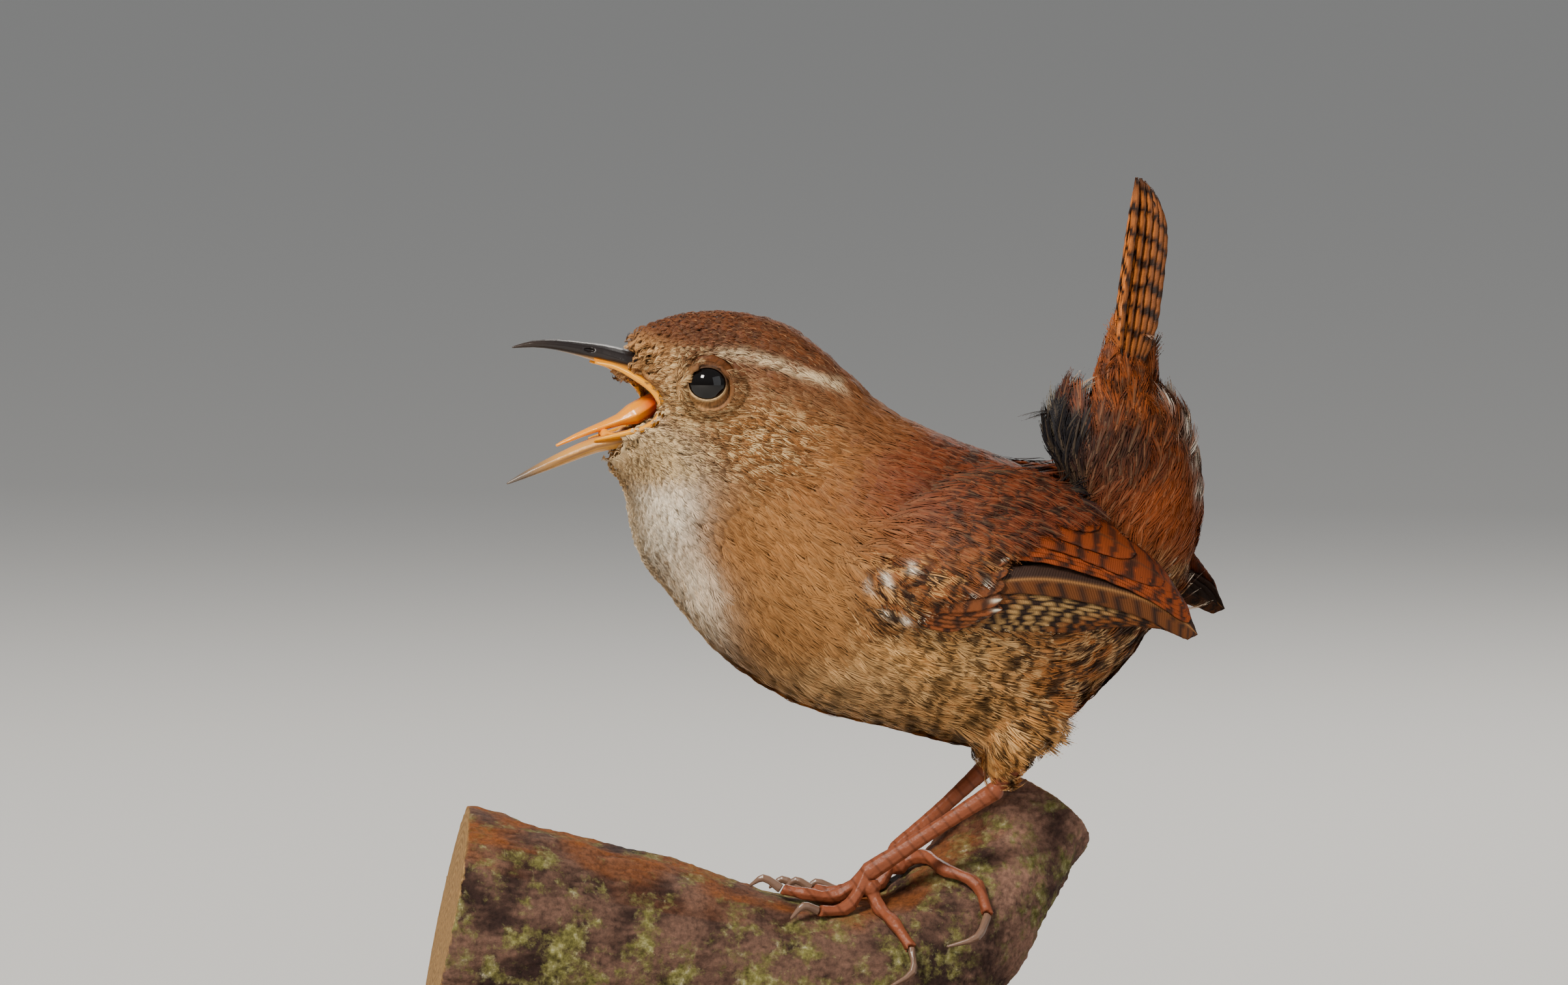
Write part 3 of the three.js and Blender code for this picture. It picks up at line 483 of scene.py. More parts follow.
def feather_colours(kind, t, across, seed):
    """Bars across a flight feather or covert: t from root to tip, across from its lower edge to its upper."""
    rng = np.random.default_rng(seed)
    drift = 0.10 * np.sin(2 * np.pi * (2.3 * t + rng.random())) + 0.05 * np.sin(2 * np.pi * (7 * t + across))
    phase = t * BARS[kind] + drift + 0.30 * np.abs(across) + rng.uniform(0, 0.22 if kind == "tail" else 1)
    wave = 0.5 + 0.5 * np.cos(2 * np.pi * phase)
    dark = smooth(0.56, 0.82, wave + 0.08 * rng.standard_normal(t.shape))
    dark = dark * rng.uniform(0.75, 1.0, (t.shape[0], 1))
    tone = rng.uniform(0.82, 1.16) * (0.74 + 0.36 * smooth(-1, 1, -across)) * (1.06 - 0.3 * t)
    ground = RUFOUS * tone[..., None]
    lower = smooth(0.05, -0.25, across)[..., None]
    if kind == "primary":
        chequer = (smooth(0.18, 0.3, t) * (1 - smooth(0.52, 0.7, t)))[..., None]
        outer = BUFF * 0.5 * chequer + RUFOUS_PALE * 0.5 * (1 - chequer)
        ground = outer * lower + INNER * (1 - lower)
        broken = smooth(0.42, 0.62, wave + 0.2 * rng.standard_normal(t.shape))
        dark = np.maximum(broken, 0.75 * smooth(0.72, 0.95, t))
    elif kind == "long":
        ground = RUFOUS_PALE * 0.27 * lower + INNER * 1.3 * (1 - lower)
        dark = dark * lower[..., 0] + 0.5 * smooth(0.85, 1.0, t)
    elif kind == "tail":
        web = (0.85 + 0.42 * smooth(-1, 1, -across))[..., None]
        ground = RUFOUS_PALE * web * rng.uniform(0.9, 1.15)
        broken = smooth(0.54, 0.80, wave + 0.1 * rng.standard_normal(t.shape))
        dark = np.maximum(broken, 0.85 * smooth(0.9, 1.0, t))
        dark = np.maximum(dark, 0.7 * smooth(0.72, 0.95, across))
    elif kind in ("covert", "spotted"):
        ground = ground * 0.72 + BUFF * 0.07
        dark = dark * 0.95
    dark = np.clip(dark, 0, 1)[..., None]
    colour = ground * (1 - dark) + BAR * dark
    if kind == "spotted" or (kind == "covert" and seed % 3 == 0):
        spot = 0.85 * np.exp(-((t - 0.95) / 0.04) ** 2 - ((across + 0.3) / 0.25) ** 2)[..., None]
        colour = colour * (1 - spot) + SPOT * spot
    shaft_width, shaft_colour = (0.10, SHAFT_PALE) if kind == "long" else (0.06, SHAFT_DARK)
    shaft = 0.8 * np.exp(-(across / shaft_width) ** 2)[..., None]
    return colour * (1 - shaft) + shaft_colour * shaft


ALONG_STEPS = 44
ACROSS_STEPS = 17
NOTCHES = 0.045
BLADE_ROOF = 0.16
UNDERSIDE_SHADE = 0.8
WING_SEEDS = {False: 100, True: 400}


def closed_sheet(rows, columns):
    """Triangles of a thin plate on a grid: its upper face, its under face, and the wall round both."""
    i, j = np.meshgrid(np.arange(rows - 1), np.arange(columns - 1), indexing="ij")
    a = (i * columns + j).ravel()
    b, c, d = a + 1, a + columns + 1, a + columns
    upper = np.concatenate([np.stack([a, b, c], 1), np.stack([a, c, d], 1)])
    under = rows * columns
    rim = np.concatenate([
        np.arange(columns),
        np.arange(1, rows) * columns + columns - 1,
        (rows - 1) * columns + np.arange(columns - 2, -1, -1),
        np.arange(rows - 2, 0, -1) * columns])
    ahead = np.roll(rim, -1)
    wall = [np.stack([ahead, rim, rim + under], 1), np.stack([ahead, rim + under, ahead + under], 1)]
    return np.concatenate([upper, upper[:, ::-1] + under, *wall])


def feather_grid(at, kind, seed):
    """One flight feather: a closed thin blade on a grid, ragged along both edges where its barbs part."""
    rng = np.random.default_rng(seed)
    t = np.linspace(0, 1, ALONG_STEPS)[:, None] * np.ones(ACROSS_STEPS)
    across = np.ones(ALONG_STEPS)[:, None] * np.linspace(-1, 1, ACROSS_STEPS)
    ragged = 1 - NOTCHES * rng.random(ALONG_STEPS)[:, None] * (rng.random(ALONG_STEPS)[:, None] > 0.45)
    fold = 0.035 * np.sin(t * 160 + 6 * np.abs(across)) * smooth(0.15, 0.6, np.abs(across))
    along = t + 0.03 * np.abs(across) * (1 - t)
    top = at(along, across * ragged, 0.09 * (1 - np.abs(across)) + BLADE_ROOF + fold)
    under = at(along, across * ragged, 0.04 * (1 - np.abs(across)) + fold)
    points = np.concatenate([top.reshape(-1, 3), under.reshape(-1, 3)])
    colours = feather_colours(kind, t, across, seed)
    colours = (colours * rng.uniform(0.93, 1.05, (ALONG_STEPS, 1, 1))).reshape(-1, 3)
    colours = np.concatenate([colours, colours * UNDERSIDE_SHADE])
    maps = np.concatenate([np.stack([t, across * 0.5 + 0.5], -1).reshape(-1, 2)] * 2)
    return points, closed_sheet(ALONG_STEPS, ACROSS_STEPS), colours, maps


def mesh_piece(name, points_m, faces, colours, maps=None):
    """A mesh made straight from arrays of triangles, with its markings and its bake map."""
    mesh = bpy.data.meshes.new(name)
    mesh.vertices.add(len(points_m))
    mesh.vertices.foreach_set("co", points_m.astype(np.float32).ravel())
    mesh.loops.add(len(faces) * 3)
    mesh.loops.foreach_set("vertex_index", faces.astype(np.int32).ravel())
    mesh.polygons.add(len(faces))
    mesh.polygons.foreach_set("loop_start", np.arange(0, len(faces) * 3, 3, dtype=np.int32))
    if maps is not None:
        layer = mesh.uv_layers.new(name="OFBake")
        layer.data.foreach_set("uv", maps[faces.ravel()].astype(np.float32).ravel())
    mesh.update(calc_edges=True)
    mesh.shade_smooth()
    paint(mesh, colours)
    piece = bpy.data.objects.new(name, mesh)
    bpy.context.collection.objects.link(piece)
    return piece


def facing_out(piece):
    """The faces of a piece all turned to look outwards."""
    select_only(piece)
    bpy.ops.object.mode_set(mode="EDIT")
    bpy.ops.mesh.select_all(action="SELECT")
    bpy.ops.mesh.normals_make_consistent(inside=False)
    bpy.ops.object.mode_set(mode="OBJECT")


def feather_piece(name, grids):
    """One piece of many feathers, each with its own square of the map."""
    points, faces, colours, maps = [], [], [], []
    start = 0
    columns = math.ceil(math.sqrt(len(grids)))
    for index, (grid_points, grid_faces, grid_colours, grid_maps) in enumerate(grids):
        points.append(grid_points)
        faces.append(grid_faces + start)
        colours.append(grid_colours)
        corner = np.array((index % columns, index // columns))
        maps.append((grid_maps * 0.94 + 0.03 + corner) / columns)
        start += len(grid_points)
    joined = [np.concatenate(parts) for parts in (points, faces, colours, maps)]
    piece = mesh_piece(name, joined[0] * MM, *joined[1:])
    facing_out(piece)
    return piece


def wing_grids(right):
    """Every feather of one wing, tier by tier."""
    grids = []
    seed = WING_SEEDS[right]
    for count, first, last, width, lifts, kind in WING_TIERS:
        first, last = np.array(first), np.array(last)
        for i in range(count):
            share = i / (count - 1) if count > 1 else 0
            start, end = first[0] + (last[0] - first[0]) * share, first[1] + (last[1] - first[1]) * share
            lift = lifts[0] + (lifts[1] - lifts[0]) * share

            def at(t, across, raised, start=start, end=end, lift=lift, width=width):
                along = start[0] + (end[0] - start[0]) * t
                middle = start[1] + (end[1] - start[1]) * t
                reach = across * width * vane_width(t) / np.maximum(wing_half(along), 1.5)
                proud = lift - across * 0.3 * vane_width(t) + raised
                return placed(wing_point(along, middle + reach, proud), right)

            seed += 1
            grids.append(feather_grid(at, kind, seed))
    return grids


def barbed_material(name, roughness):
    """Flight feathers: markings from the mesh, with fine slanting barb lines from the feather's own map."""
    material = marked_material(name, roughness)
    tree = material.node_tree
    own_map = new_node(tree, "UVMap")
    own_map.uv_map = "OFBake"
    barbs = new_node(tree, "TexWave", Scale=260.0, Distortion=1.2)
    tree.links.new(own_map.outputs["UV"], barbs.inputs["Vector"])
    bumped(tree, barbs.outputs["Fac"], 0.35, 0.12 * MM)
    return material


flight = barbed_material("flight_feathers", 0.55)
wings = []
for node, right in (("wing_left", False), ("wing_right", True)):
    wing = feather_piece("feathered_" + node, wing_grids(right))
    wing.data.materials.append(flight)
    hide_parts(node)
    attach(wing, BODY)
    wings.append(wing)

# Tail: six pairs of rectrices closed like a roof, the middle pair in front and longest, all barred.
# They spring from between the tail coverts, which are part of the coat.
TAIL_ROOT = np.array((27.6, 0.0, 97.4))
TAIL_UP = np.array((0.128, 0.0, 0.9918))
RECTRIX_LENGTH = 25.2
RECTRIX_HALF = 2.35
OUTER_RECTRIX = 0.9
PAIRS = 6
TAIL_SEED = 800


def rectrix(side, pair):
    """One tail feather: side -1 or 1, pair 0 in the middle of the tail to PAIRS - 1 at its edge."""
    share = pair / (PAIRS - 1)
    lean = math.radians(12 + 62 * share)
    broad = np.array((math.sin(lean), side * math.cos(lean), 0))
    upper = np.array((-math.cos(lean), side * math.sin(lean), 0))
    foot = np.array((-1.0 + 1.9 * share, side * (0.9 + 2.1 * share), 0)) - upper * 0.4 * share
    length = RECTRIX_LENGTH * (1 - (1 - OUTER_RECTRIX) * share**2)

    def at(t, across, raised):
        half = RECTRIX_HALF * vane_width(t, roundness=3.2) * across
        spread = 0.35 + 0.65 * smooth(0, 0.45, t)
        return (TAIL_ROOT + TAIL_UP * (t * length)[..., None] + foot * spread[..., None]
                + broad * half[..., None] + upper * (raised + 0.14 * (1 - across**2))[..., None])

    return at


rectrices = [feather_grid(rectrix(side, pair), "tail", TAIL_SEED + pair * 2 + (side > 0))
             for side in (-1, 1) for pair in range(PAIRS)]
tail = feather_piece("feathered_tail", rectrices)
tail.data.materials.append(flight)
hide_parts("tail")
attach(tail, BODY)

# Coat: small body feathers laid over the skin and the front of the wings like soft shingles.
# Each is a plume of fine barbs on a shaft, lies back along the lie of the coat and is ragged at its tip.
# LIE gives that lie at a few places of the profile: its angle from straight back (+X), in degrees.
LIE = (
    ((-29, 103), 42), ((-20, 107), 12), ((-10, 105), -18), ((-4, 100), -38), ((4, 94), -22), ((14, 91), -16),
    ((-26, 99), 4), ((-20, 96), -18), ((-12, 96), -24), ((-29, 92), -28), ((-26, 86), -52), ((-22, 77), -56),
    ((-14, 68), -44), ((-4, 63), -28), ((-12, 84), -40), ((-4, 76), -34), ((8, 64), -22), ((18, 60), -34),
    ((24, 66), 12), ((14, 57), -62), ((30, 74), 34), ((31, 82), 64), ((22, 91), 104), ((28, 92), 88),
    ((35, 90), 84), ((28, 100), 86), ((6, 82), -24), ((14, 82), -18), ((17.5, 90), -18), ((19, 87), -10),
)
LIE_PLACES = np.array([row[0] for row in LIE], dtype=float)
LIE_ANGLES = np.radians(np.array([row[1] for row in LIE], dtype=float))


def unit(rows):
    """Each row at a length of 1."""
    return rows / np.maximum(np.linalg.norm(rows, axis=1, keepdims=True), 1e-12)


def lie_of(straight):
    """The way feathers lie at each place, blended from the places of LIE near it."""
    gap = ((straight[:, None, [0, 2]] - LIE_PLACES) ** 2).sum(axis=2)
    weight = 1 / (1.5 + gap) ** 2
    back, up = weight @ np.cos(LIE_ANGLES), weight @ np.sin(LIE_ANGLES)
    return unit(np.stack([back, np.zeros(len(straight)), up], axis=1))


def triangles_of(mesh):
    """The corner points and the corner loops of each triangle of a mesh."""
    mesh.calc_loop_triangles()
    corners = np.empty(len(mesh.loop_triangles) * 3, dtype=np.int32)
    loops = corners.copy()
    mesh.loop_triangles.foreach_get("vertices", corners)
    mesh.loop_triangles.foreach_get("loops", loops)
    return corners.reshape(-1, 3), loops.reshape(-1, 3)


def kept_apart(places, spacing):
    """The rows of a random set of places that stand at least their own spacing from every row kept before."""
    keep = []
    cells = {}
    size = max(spacing.max(), 0.01)
    homes = np.floor(places / size).astype(int)
    around = [(i, j, k) for i in (-1, 0, 1) for j in (-1, 0, 1) for k in (-1, 0, 1)]
    for row in np.flatnonzero(spacing > 0):
        x, y, z = homes[row]
        near = [other for i, j, k in around for other in cells.get((x + i, y + j, z + k), ())]
        if near:
            gap = places[near] - places[row]
            if (gap * gap).sum(axis=1).min() < spacing[row] ** 2:
                continue
        cells.setdefault((x, y, z), []).append(row)
        keep.append(row)
    return np.array(keep)


skin_points = points_of(skin.data)
skin_corners, skin_loops = triangles_of(skin.data)
skin_tree = BVHTree.FromObject(skin, bpy.context.evaluated_depsgraph_get())
skin_map = np.empty(len(skin.data.loops) * 2, dtype=np.float32)
skin.data.uv_layers["OFBake"].data.foreach_get("uv", skin_map)
skin_map = skin_map.reshape(-1, 2)
skin_middles = skin_map[skin_loops].mean(axis=1)


def sown_on_skin(count, seed):
    """Random places spread evenly over the skin, with the way out and the place on its map at each."""
    rng = np.random.default_rng(seed)
    a, b, c = (skin_points[skin_corners[:, i]] for i in range(3))
    area = np.linalg.norm(np.cross(b - a, c - a), axis=1)
    pick = rng.choice(len(skin_corners), size=count, p=area / area.sum())
    u, v = rng.random(count), rng.random(count)
    u, v = np.where(u + v > 1, 1 - u, u), np.where(u + v > 1, 1 - v, v)
    share = np.stack([1 - u - v, u, v], axis=1)[:, :, None]
    places = (skin_points[skin_corners[pick]] * share).sum(axis=1) / MM
    normals = np.empty(len(skin.data.vertices) * 3, dtype=np.float32)
    skin.data.vertices.foreach_get("normal", normals)
    normals = unit((normals.reshape(-1, 3)[skin_corners[pick]] * share).sum(axis=1))
    return places, normals, (skin_map[skin_loops[pick]] * share).sum(axis=1)


eye_middles = [(Vector(low) + Vector(high)) / 2 for low, high in (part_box("eye_left"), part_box("eye_right"))]
eye_looks = []
for side in (-1, 1):
    x, y, z = unit(np.array([(-0.2, side * 0.97, 0.06)]))[0]
    eye_looks.append(np.array((x * math.cos(HEAD_YAW) - y * math.sin(HEAD_YAW),
                               x * math.sin(HEAD_YAW) + y * math.cos(HEAD_YAW), z)))
LID_EDGE = 2.75
FACE_SPACING = 0.33
SPACING_GROWTH = 0.40
EYE_SPACING = 0.27
EYE_ZONE = 4.6
ROOTS_TRIED = 170000
ROOT_SEED = 11
HIDDEN_DEPTH = 2.2 * MM


def off_the_eyes(places):
    """Distance in millimetres from the line on which the nearer eye looks out."""
    nearest = np.full(len(places), 99.0)
    for eye, look in zip(eye_middles, eye_looks):
        away = places - np.array(eye) / MM
        ahead = away @ look
        aside = np.linalg.norm(away - ahead[:, None] * look, axis=1)
        nearest = np.where(ahead > 0, np.minimum(nearest, aside), nearest)
    return nearest


def body_share(straight):
    """0 on the face, 1 on the body behind the neck: small feathers grow into large ones along it."""
    return smooth(-27, 4, straight[:, 0] - 0.35 * (straight[:, 2] - 95))


def body_spacing(places):
    """How far apart feathers stand at each place, and 0 where none may stand."""
    straight = straightened(places)
    spacing = FACE_SPACING + SPACING_GROWTH * body_share(straight)
    away = off_the_eyes(places)
    spacing = np.where(away < LID_EDGE - 0.2, 0, np.where(away < EYE_ZONE, EYE_SPACING, spacing))
    return np.where(mouth_depth(straight) > 0.12, 0, spacing)


roots, root_normals, root_maps = sown_on_skin(ROOTS_TRIED, ROOT_SEED)
kept = kept_apart(roots, body_spacing(roots))
roots, root_normals, root_maps = roots[kept], root_normals[kept], root_maps[kept]
wing_walls = [BVHTree.FromObject(wing, bpy.context.evaluated_depsgraph_get()) for wing in wings]


def under_a_wing(place, normal):
    """Whether a wing lies close over a place of the skin."""
    start = Vector(place) * MM
    return any(wall.ray_cast(start, Vector(normal), HIDDEN_DEPTH)[0] is not None for wall in wing_walls)


open_air = np.array([not under_a_wing(p, n) for p, n in zip(roots, root_normals)])
roots, root_normals, root_maps = roots[open_air], root_normals[open_air], root_maps[open_air]

# The shoulder of each wing, down to its coverts, is hidden by feathers of the mantle's own kind.
SHOULDER_COUNT = 9000
SHOULDER_SPACING = 0.72
SHOULDER_LIFT = 2.0
SHOULDER_BACK = 0.56
SHOULDER_EDGE = (
    (0.0, 0.06, 0.12, 0.22, 0.34, 0.46, SHOULDER_BACK),
    (-1.2, -1.0, -0.7, -0.32, 0.0, 0.55, 0.95))
SHOULDER_SEED = 31
rng = np.random.default_rng(SHOULDER_SEED)
for right in (False, True):
    along = rng.uniform(0, SHOULDER_BACK, SHOULDER_COUNT)
    across = rng.uniform(-1.1, 1.12, SHOULDER_COUNT)
    edge = np.interp(along, *SHOULDER_EDGE)
    above = across > edge + rng.normal(0, 0.06, SHOULDER_COUNT)
    along, across = along[above], across[above]
    lift = np.full(len(along), SHOULDER_LIFT)
    places = placed(wing_point(along, across, lift), right)
    outward = unit(placed(wing_point(along, across, lift + 1), right) - places)
    kept = kept_apart(places, np.full(len(places), SHOULDER_SPACING))
    places, outward = places[kept], outward[kept]
    nearest = [skin_tree.find_nearest(Vector(p) * MM)[2] for p in places]
    roots = np.concatenate([roots, places - outward * 0.5])
    root_normals = np.concatenate([root_normals, outward])
    root_maps = np.concatenate([root_maps, skin_middles[nearest]])

straight_roots = straightened(roots)
lie = lie_of(straight_roots)
head_middle = np.array((eye_middles[0] + eye_middles[1]) / 2) / MM


def by_an_eye(places):
    """1 beside either eye, where the feathers are smallest and part round the lids, and 0 away from them."""
    away = [np.linalg.norm(places - np.array(eye) / MM, axis=1) for eye in eye_middles]
    return smooth(5.2, 3.7, np.minimum(*away))


beside = by_an_eye(roots)[:, None]
root_normals = unit(root_normals * (1 - beside) + unit(roots - head_middle) * beside)
for eye in eye_middles:
    to_eye = unit(np.array(eye) / MM - roots)
    toward = np.maximum((lie * to_eye).sum(axis=1, keepdims=True), 0)
    lie = unit(lie - toward * to_eye * beside * 1.15)
lie = unit(lie - (lie * root_normals).sum(axis=1, keepdims=True) * root_normals)
outer_points, outer_faces = [], []
for surface in (skin, *wings):
    corners, _ = triangles_of(surface.data)
    outer_faces.append(corners + sum(len(points) for points in outer_points))
    outer_points.append(points_of(surface.data))
outer_tree = BVHTree.FromPolygons(np.concatenate(outer_points).tolist(), np.concatenate(outer_faces).tolist())


def ruffled(straight):
    """How much a place belongs to the loose, wind-blown feathers at the root of the tail."""
    x, y, z = straight.T
    return smooth(19, 21.5, x) * smooth(84, 89, z) * (1 - smooth(6.5, 8.0, np.abs(y)))


def plume_sizes(straight, rng):
    """Length and width of each plume in millimetres: small on the face, and shorter on the thighs."""
    x, _, z = straight.T
    body = body_share(straight)
    length = 1.5 + 3.5 * body
    width = 0.8 + 1.35 * body
    length *= 1 - 0.35 * smooth(-22, -30, x)
    thigh = smooth(7, 10, x) * (1 - smooth(58, 62, z)) * (1 - smooth(22, 26, x))
    length *= 1 - 0.5 * thigh
    width *= 1 - 0.35 * thigh
    loose = ruffled(straight)
    length += 0.9 * loose * (1 - smooth(94, 101, z))
    vary = rng.uniform(0.85, 1.18, len(straight))
    return length * vary, width * vary


def mixed_in(colour, share, other):
    """A colour with a share of another mixed in."""
    share = np.clip(share, 0, 1)[..., None]
    return colour * (1 - share) + other * share


BAR_STEP = 1.65
WHITE_SPOTS = (
    (-0.5, 77.6), (-0.3, 77.0), (1.8, 78.4), (2.0, 77.7), (4.5, 79.9), (4.6, 79.2), (6.4, 82.0), (12.8, 77.6),
    (11.3, 76.2), (1.5, 74.4), (3.8, 73.6), (6.1, 73.8))
UNDERTAIL_TIPS = ((34.9, 95.0), (33.2, 98.4), (32.2, 101.6), (31.2, 106.2), (35.8, 91.4), (36.4, 87.6))


def bar_wave(at, loose, shift):
    """Dark wavy bars that cross the lie of the coat from feather to feather: 0 between bars, 1 on them."""
    x, y, z = at[..., 0], at[..., 1], at[..., 2]
    down_back = 0.92 * x - 0.38 * z
    warp = 0.30 * np.sin(0.9 * z + 0.55 * x + 0.4 * y) + 0.22 * np.sin(1.9 * x - 1.3 * z)
    warp = warp + 0.15 * np.sin(3.1 * z + y)
    phase = (down_back * (1 - loose) + z * loose) / BAR_STEP + warp + shift
    return smooth(0.40, 0.74, 0.5 + 0.5 * np.cos(2 * np.pi * phase))


def plume_colours(straight, at, along, across, length, draw, strand):
    """Colour of each point of each plume: its root's ground colour with bars and flecks, and painted shadow
    and shade among the loose feathers at the root of the tail.
    """
    x, y, z = (column[:, None] for column in straight.T)
    first, second, third, fourth, fifth = (draw[:, i:i + 1] for i in range(5))
    tone = (0.88 + 0.2 * first) * (0.84 + 0.3 * strand)
    colour = ground_colour(straight)[:, None, :] * (tone * (0.86 + 0.2 * along))[:, :, None]
    from_tip = (1 - along) * length[:, None]

    crown = smooth(101.6, 104.0, z + 0.30 * (x + 17)) * (1 - smooth(-6, 4, x))
    colour = mixed_in(colour, crown * (second > 0.5) * (0.25 + 0.35 * strand), linear("2b180e"))
    colour = mixed_in(colour, crown * (strand > 0.86) * smooth(0.5, 0.9, along) * 0.7, linear("c49468"))
    face = smooth(-14, -20, x) * smooth(88, 91, z) * (1 - smooth(102, 104, z))
    ear = np.exp(-((x + 17) / 7) ** 2 - ((z - 94) / 5) ** 2)
    fleck = np.maximum(face, ear)
    pale_fleck = fleck * smooth(0.50, 0.80, 0.55 * strand + 0.45 * second)
    colour = mixed_in(colour, pale_fleck * 0.85, linear("dabd8a"))
    dark_fleck = fleck * smooth(0.50, 0.25, 0.6 * strand + 0.4 * second)
    colour = mixed_in(colour, dark_fleck * 0.8, linear("38220f"))
    behind_eye = np.exp(-((x + 10) / 5) ** 2 - ((z - 98.4 + 0.22 * (x + 10)) / 1.4) ** 2)
    colour = mixed_in(colour, behind_eye * 0.6, linear("6b4528"))
    pale_brow = brow(at) * (0.15 + 0.65 * smooth(0.2, 0.6, 0.5 * third + 0.5 * strand))
    colour = mixed_in(colour, pale_brow, linear("e0c79e"))
    chin = smooth(-26, -29, x) * (1 - smooth(92, 94, z))
    colour = mixed_in(colour, chin * 0.5 * third, linear("d9b98a"))

    flank = smooth(-11, 5, x + 0.25 * (70 - z)) * (1 - smooth(74, 80, z))
    breast = smooth(-20, -9, x) * (1 - smooth(65, 73, z)) * 0.7
    mantle = smooth(-1, 8, x) * smooth(76, 81, z) * (1 - smooth(22, 26, x)) * 0.95
    loose = ruffled(straight)[:, None]
    barred = np.maximum(flank * (0.88 + 0.12 * smooth(2, 18, x)), breast)
    barred = np.maximum(barred, np.maximum(mantle, loose * 0.8)) * (0.8 + 0.2 * fourth)
    wave = bar_wave(at, loose, 0.22 * (third - 0.5))
    fore_wing = smooth(9.5, 11.5, np.abs(y)) * smooth(-4, -1, x) * (1 - smooth(80, 83, z)) * smooth(72, 74, z)
    colour = mixed_in(colour, fore_wing * 0.6, linear("7a451f"))
    colour = mixed_in(colour, np.maximum(barred, 0.95 * fore_wing) * wave, linear("1f1008"))
    colour = mixed_in(colour, fore_wing * 0.7 * (1 - wave) * smooth(0.55, 0.8, second), linear("c39258"))
    spots = ((at[..., None, [0, 2]] - np.array(WHITE_SPOTS)) ** 2).sum(axis=-1).min(axis=-1)
    colour = mixed_in(colour, fore_wing * np.exp(-spots / 0.16) * (0.5 + 0.6 * strand), linear("f3ead6"))
    colour = mixed_in(colour, flank * (1 - wave) * smooth(0.45, 0.75, second) * 0.5, linear("e6bf85"))
    tip = 1 - smooth(0.10, 0.38, from_tip)
    colour = mixed_in(colour, np.maximum(flank, breast) * tip * 0.65 * second, PALE)
    # Painted shadow: a bluish near-black patch over the loose feathers in front of the root of the tail.
    tail_root_shadow = loose * np.exp(-((x - 21.0) / 3.0) ** 2 - ((z - 90.0) / 4.5) ** 2)
    colour = mixed_in(colour, tail_root_shadow * 1.9, linear("131216"))
    # Painted shade: dark brown laid in the fold of the loose feathers under the root of the tail.
    fold = loose * np.exp(-((x - 28.4) / 4.0) ** 2 - ((z - 87.6) / 2.6) ** 2)
    colour = mixed_in(colour, fold * 0.85, linear("1d110c"))
    tuft = np.exp(-((x - 19.6) / 1.2) ** 2 - ((z - 94.4) / 1.8) ** 2) * (fifth > 0.5)
    colour = mixed_in(colour, tuft, PALE)
    vent = smooth(23, 29, x - 0.5 * (z - 66)) * (1 - smooth(76, 82, z))
    undertail = smooth(32.5, 35.5, x) * smooth(84, 90, z) * (fifth > 0.45)
    white = np.maximum(vent * 0.8, undertail * 0.95) * (1 - smooth(0.35, 0.85, from_tip))
    away = (at[..., None, [0, 2]] - np.array(UNDERTAIL_TIPS)) / (0.5, 1.5)
    white = np.maximum(white, 1.2 * np.exp(-(away ** 2).sum(axis=-1).min(axis=-1)) * strand)
    colour = mixed_in(colour, white, linear("efe6d4"))
    shaft = np.exp(-(across / 0.10) ** 2) * 0.07
    return mixed_in(colour, shaft, linear("d2b184"))


BARBS = 14
STEPS = (0.0, 0.50, 0.72, 0.87, 1.0)
STATIONS = len(STEPS)
BLADE_TRIANGLES = 2 * (STATIONS - 1) - 1
MAP_PATCH = 0.003
PIECE_TRIANGLES = 190000
COAT_SEED = 20
SEEK_FROM = 3.2
SEEK_REACH = 6.2 * MM
HANG = -1.2


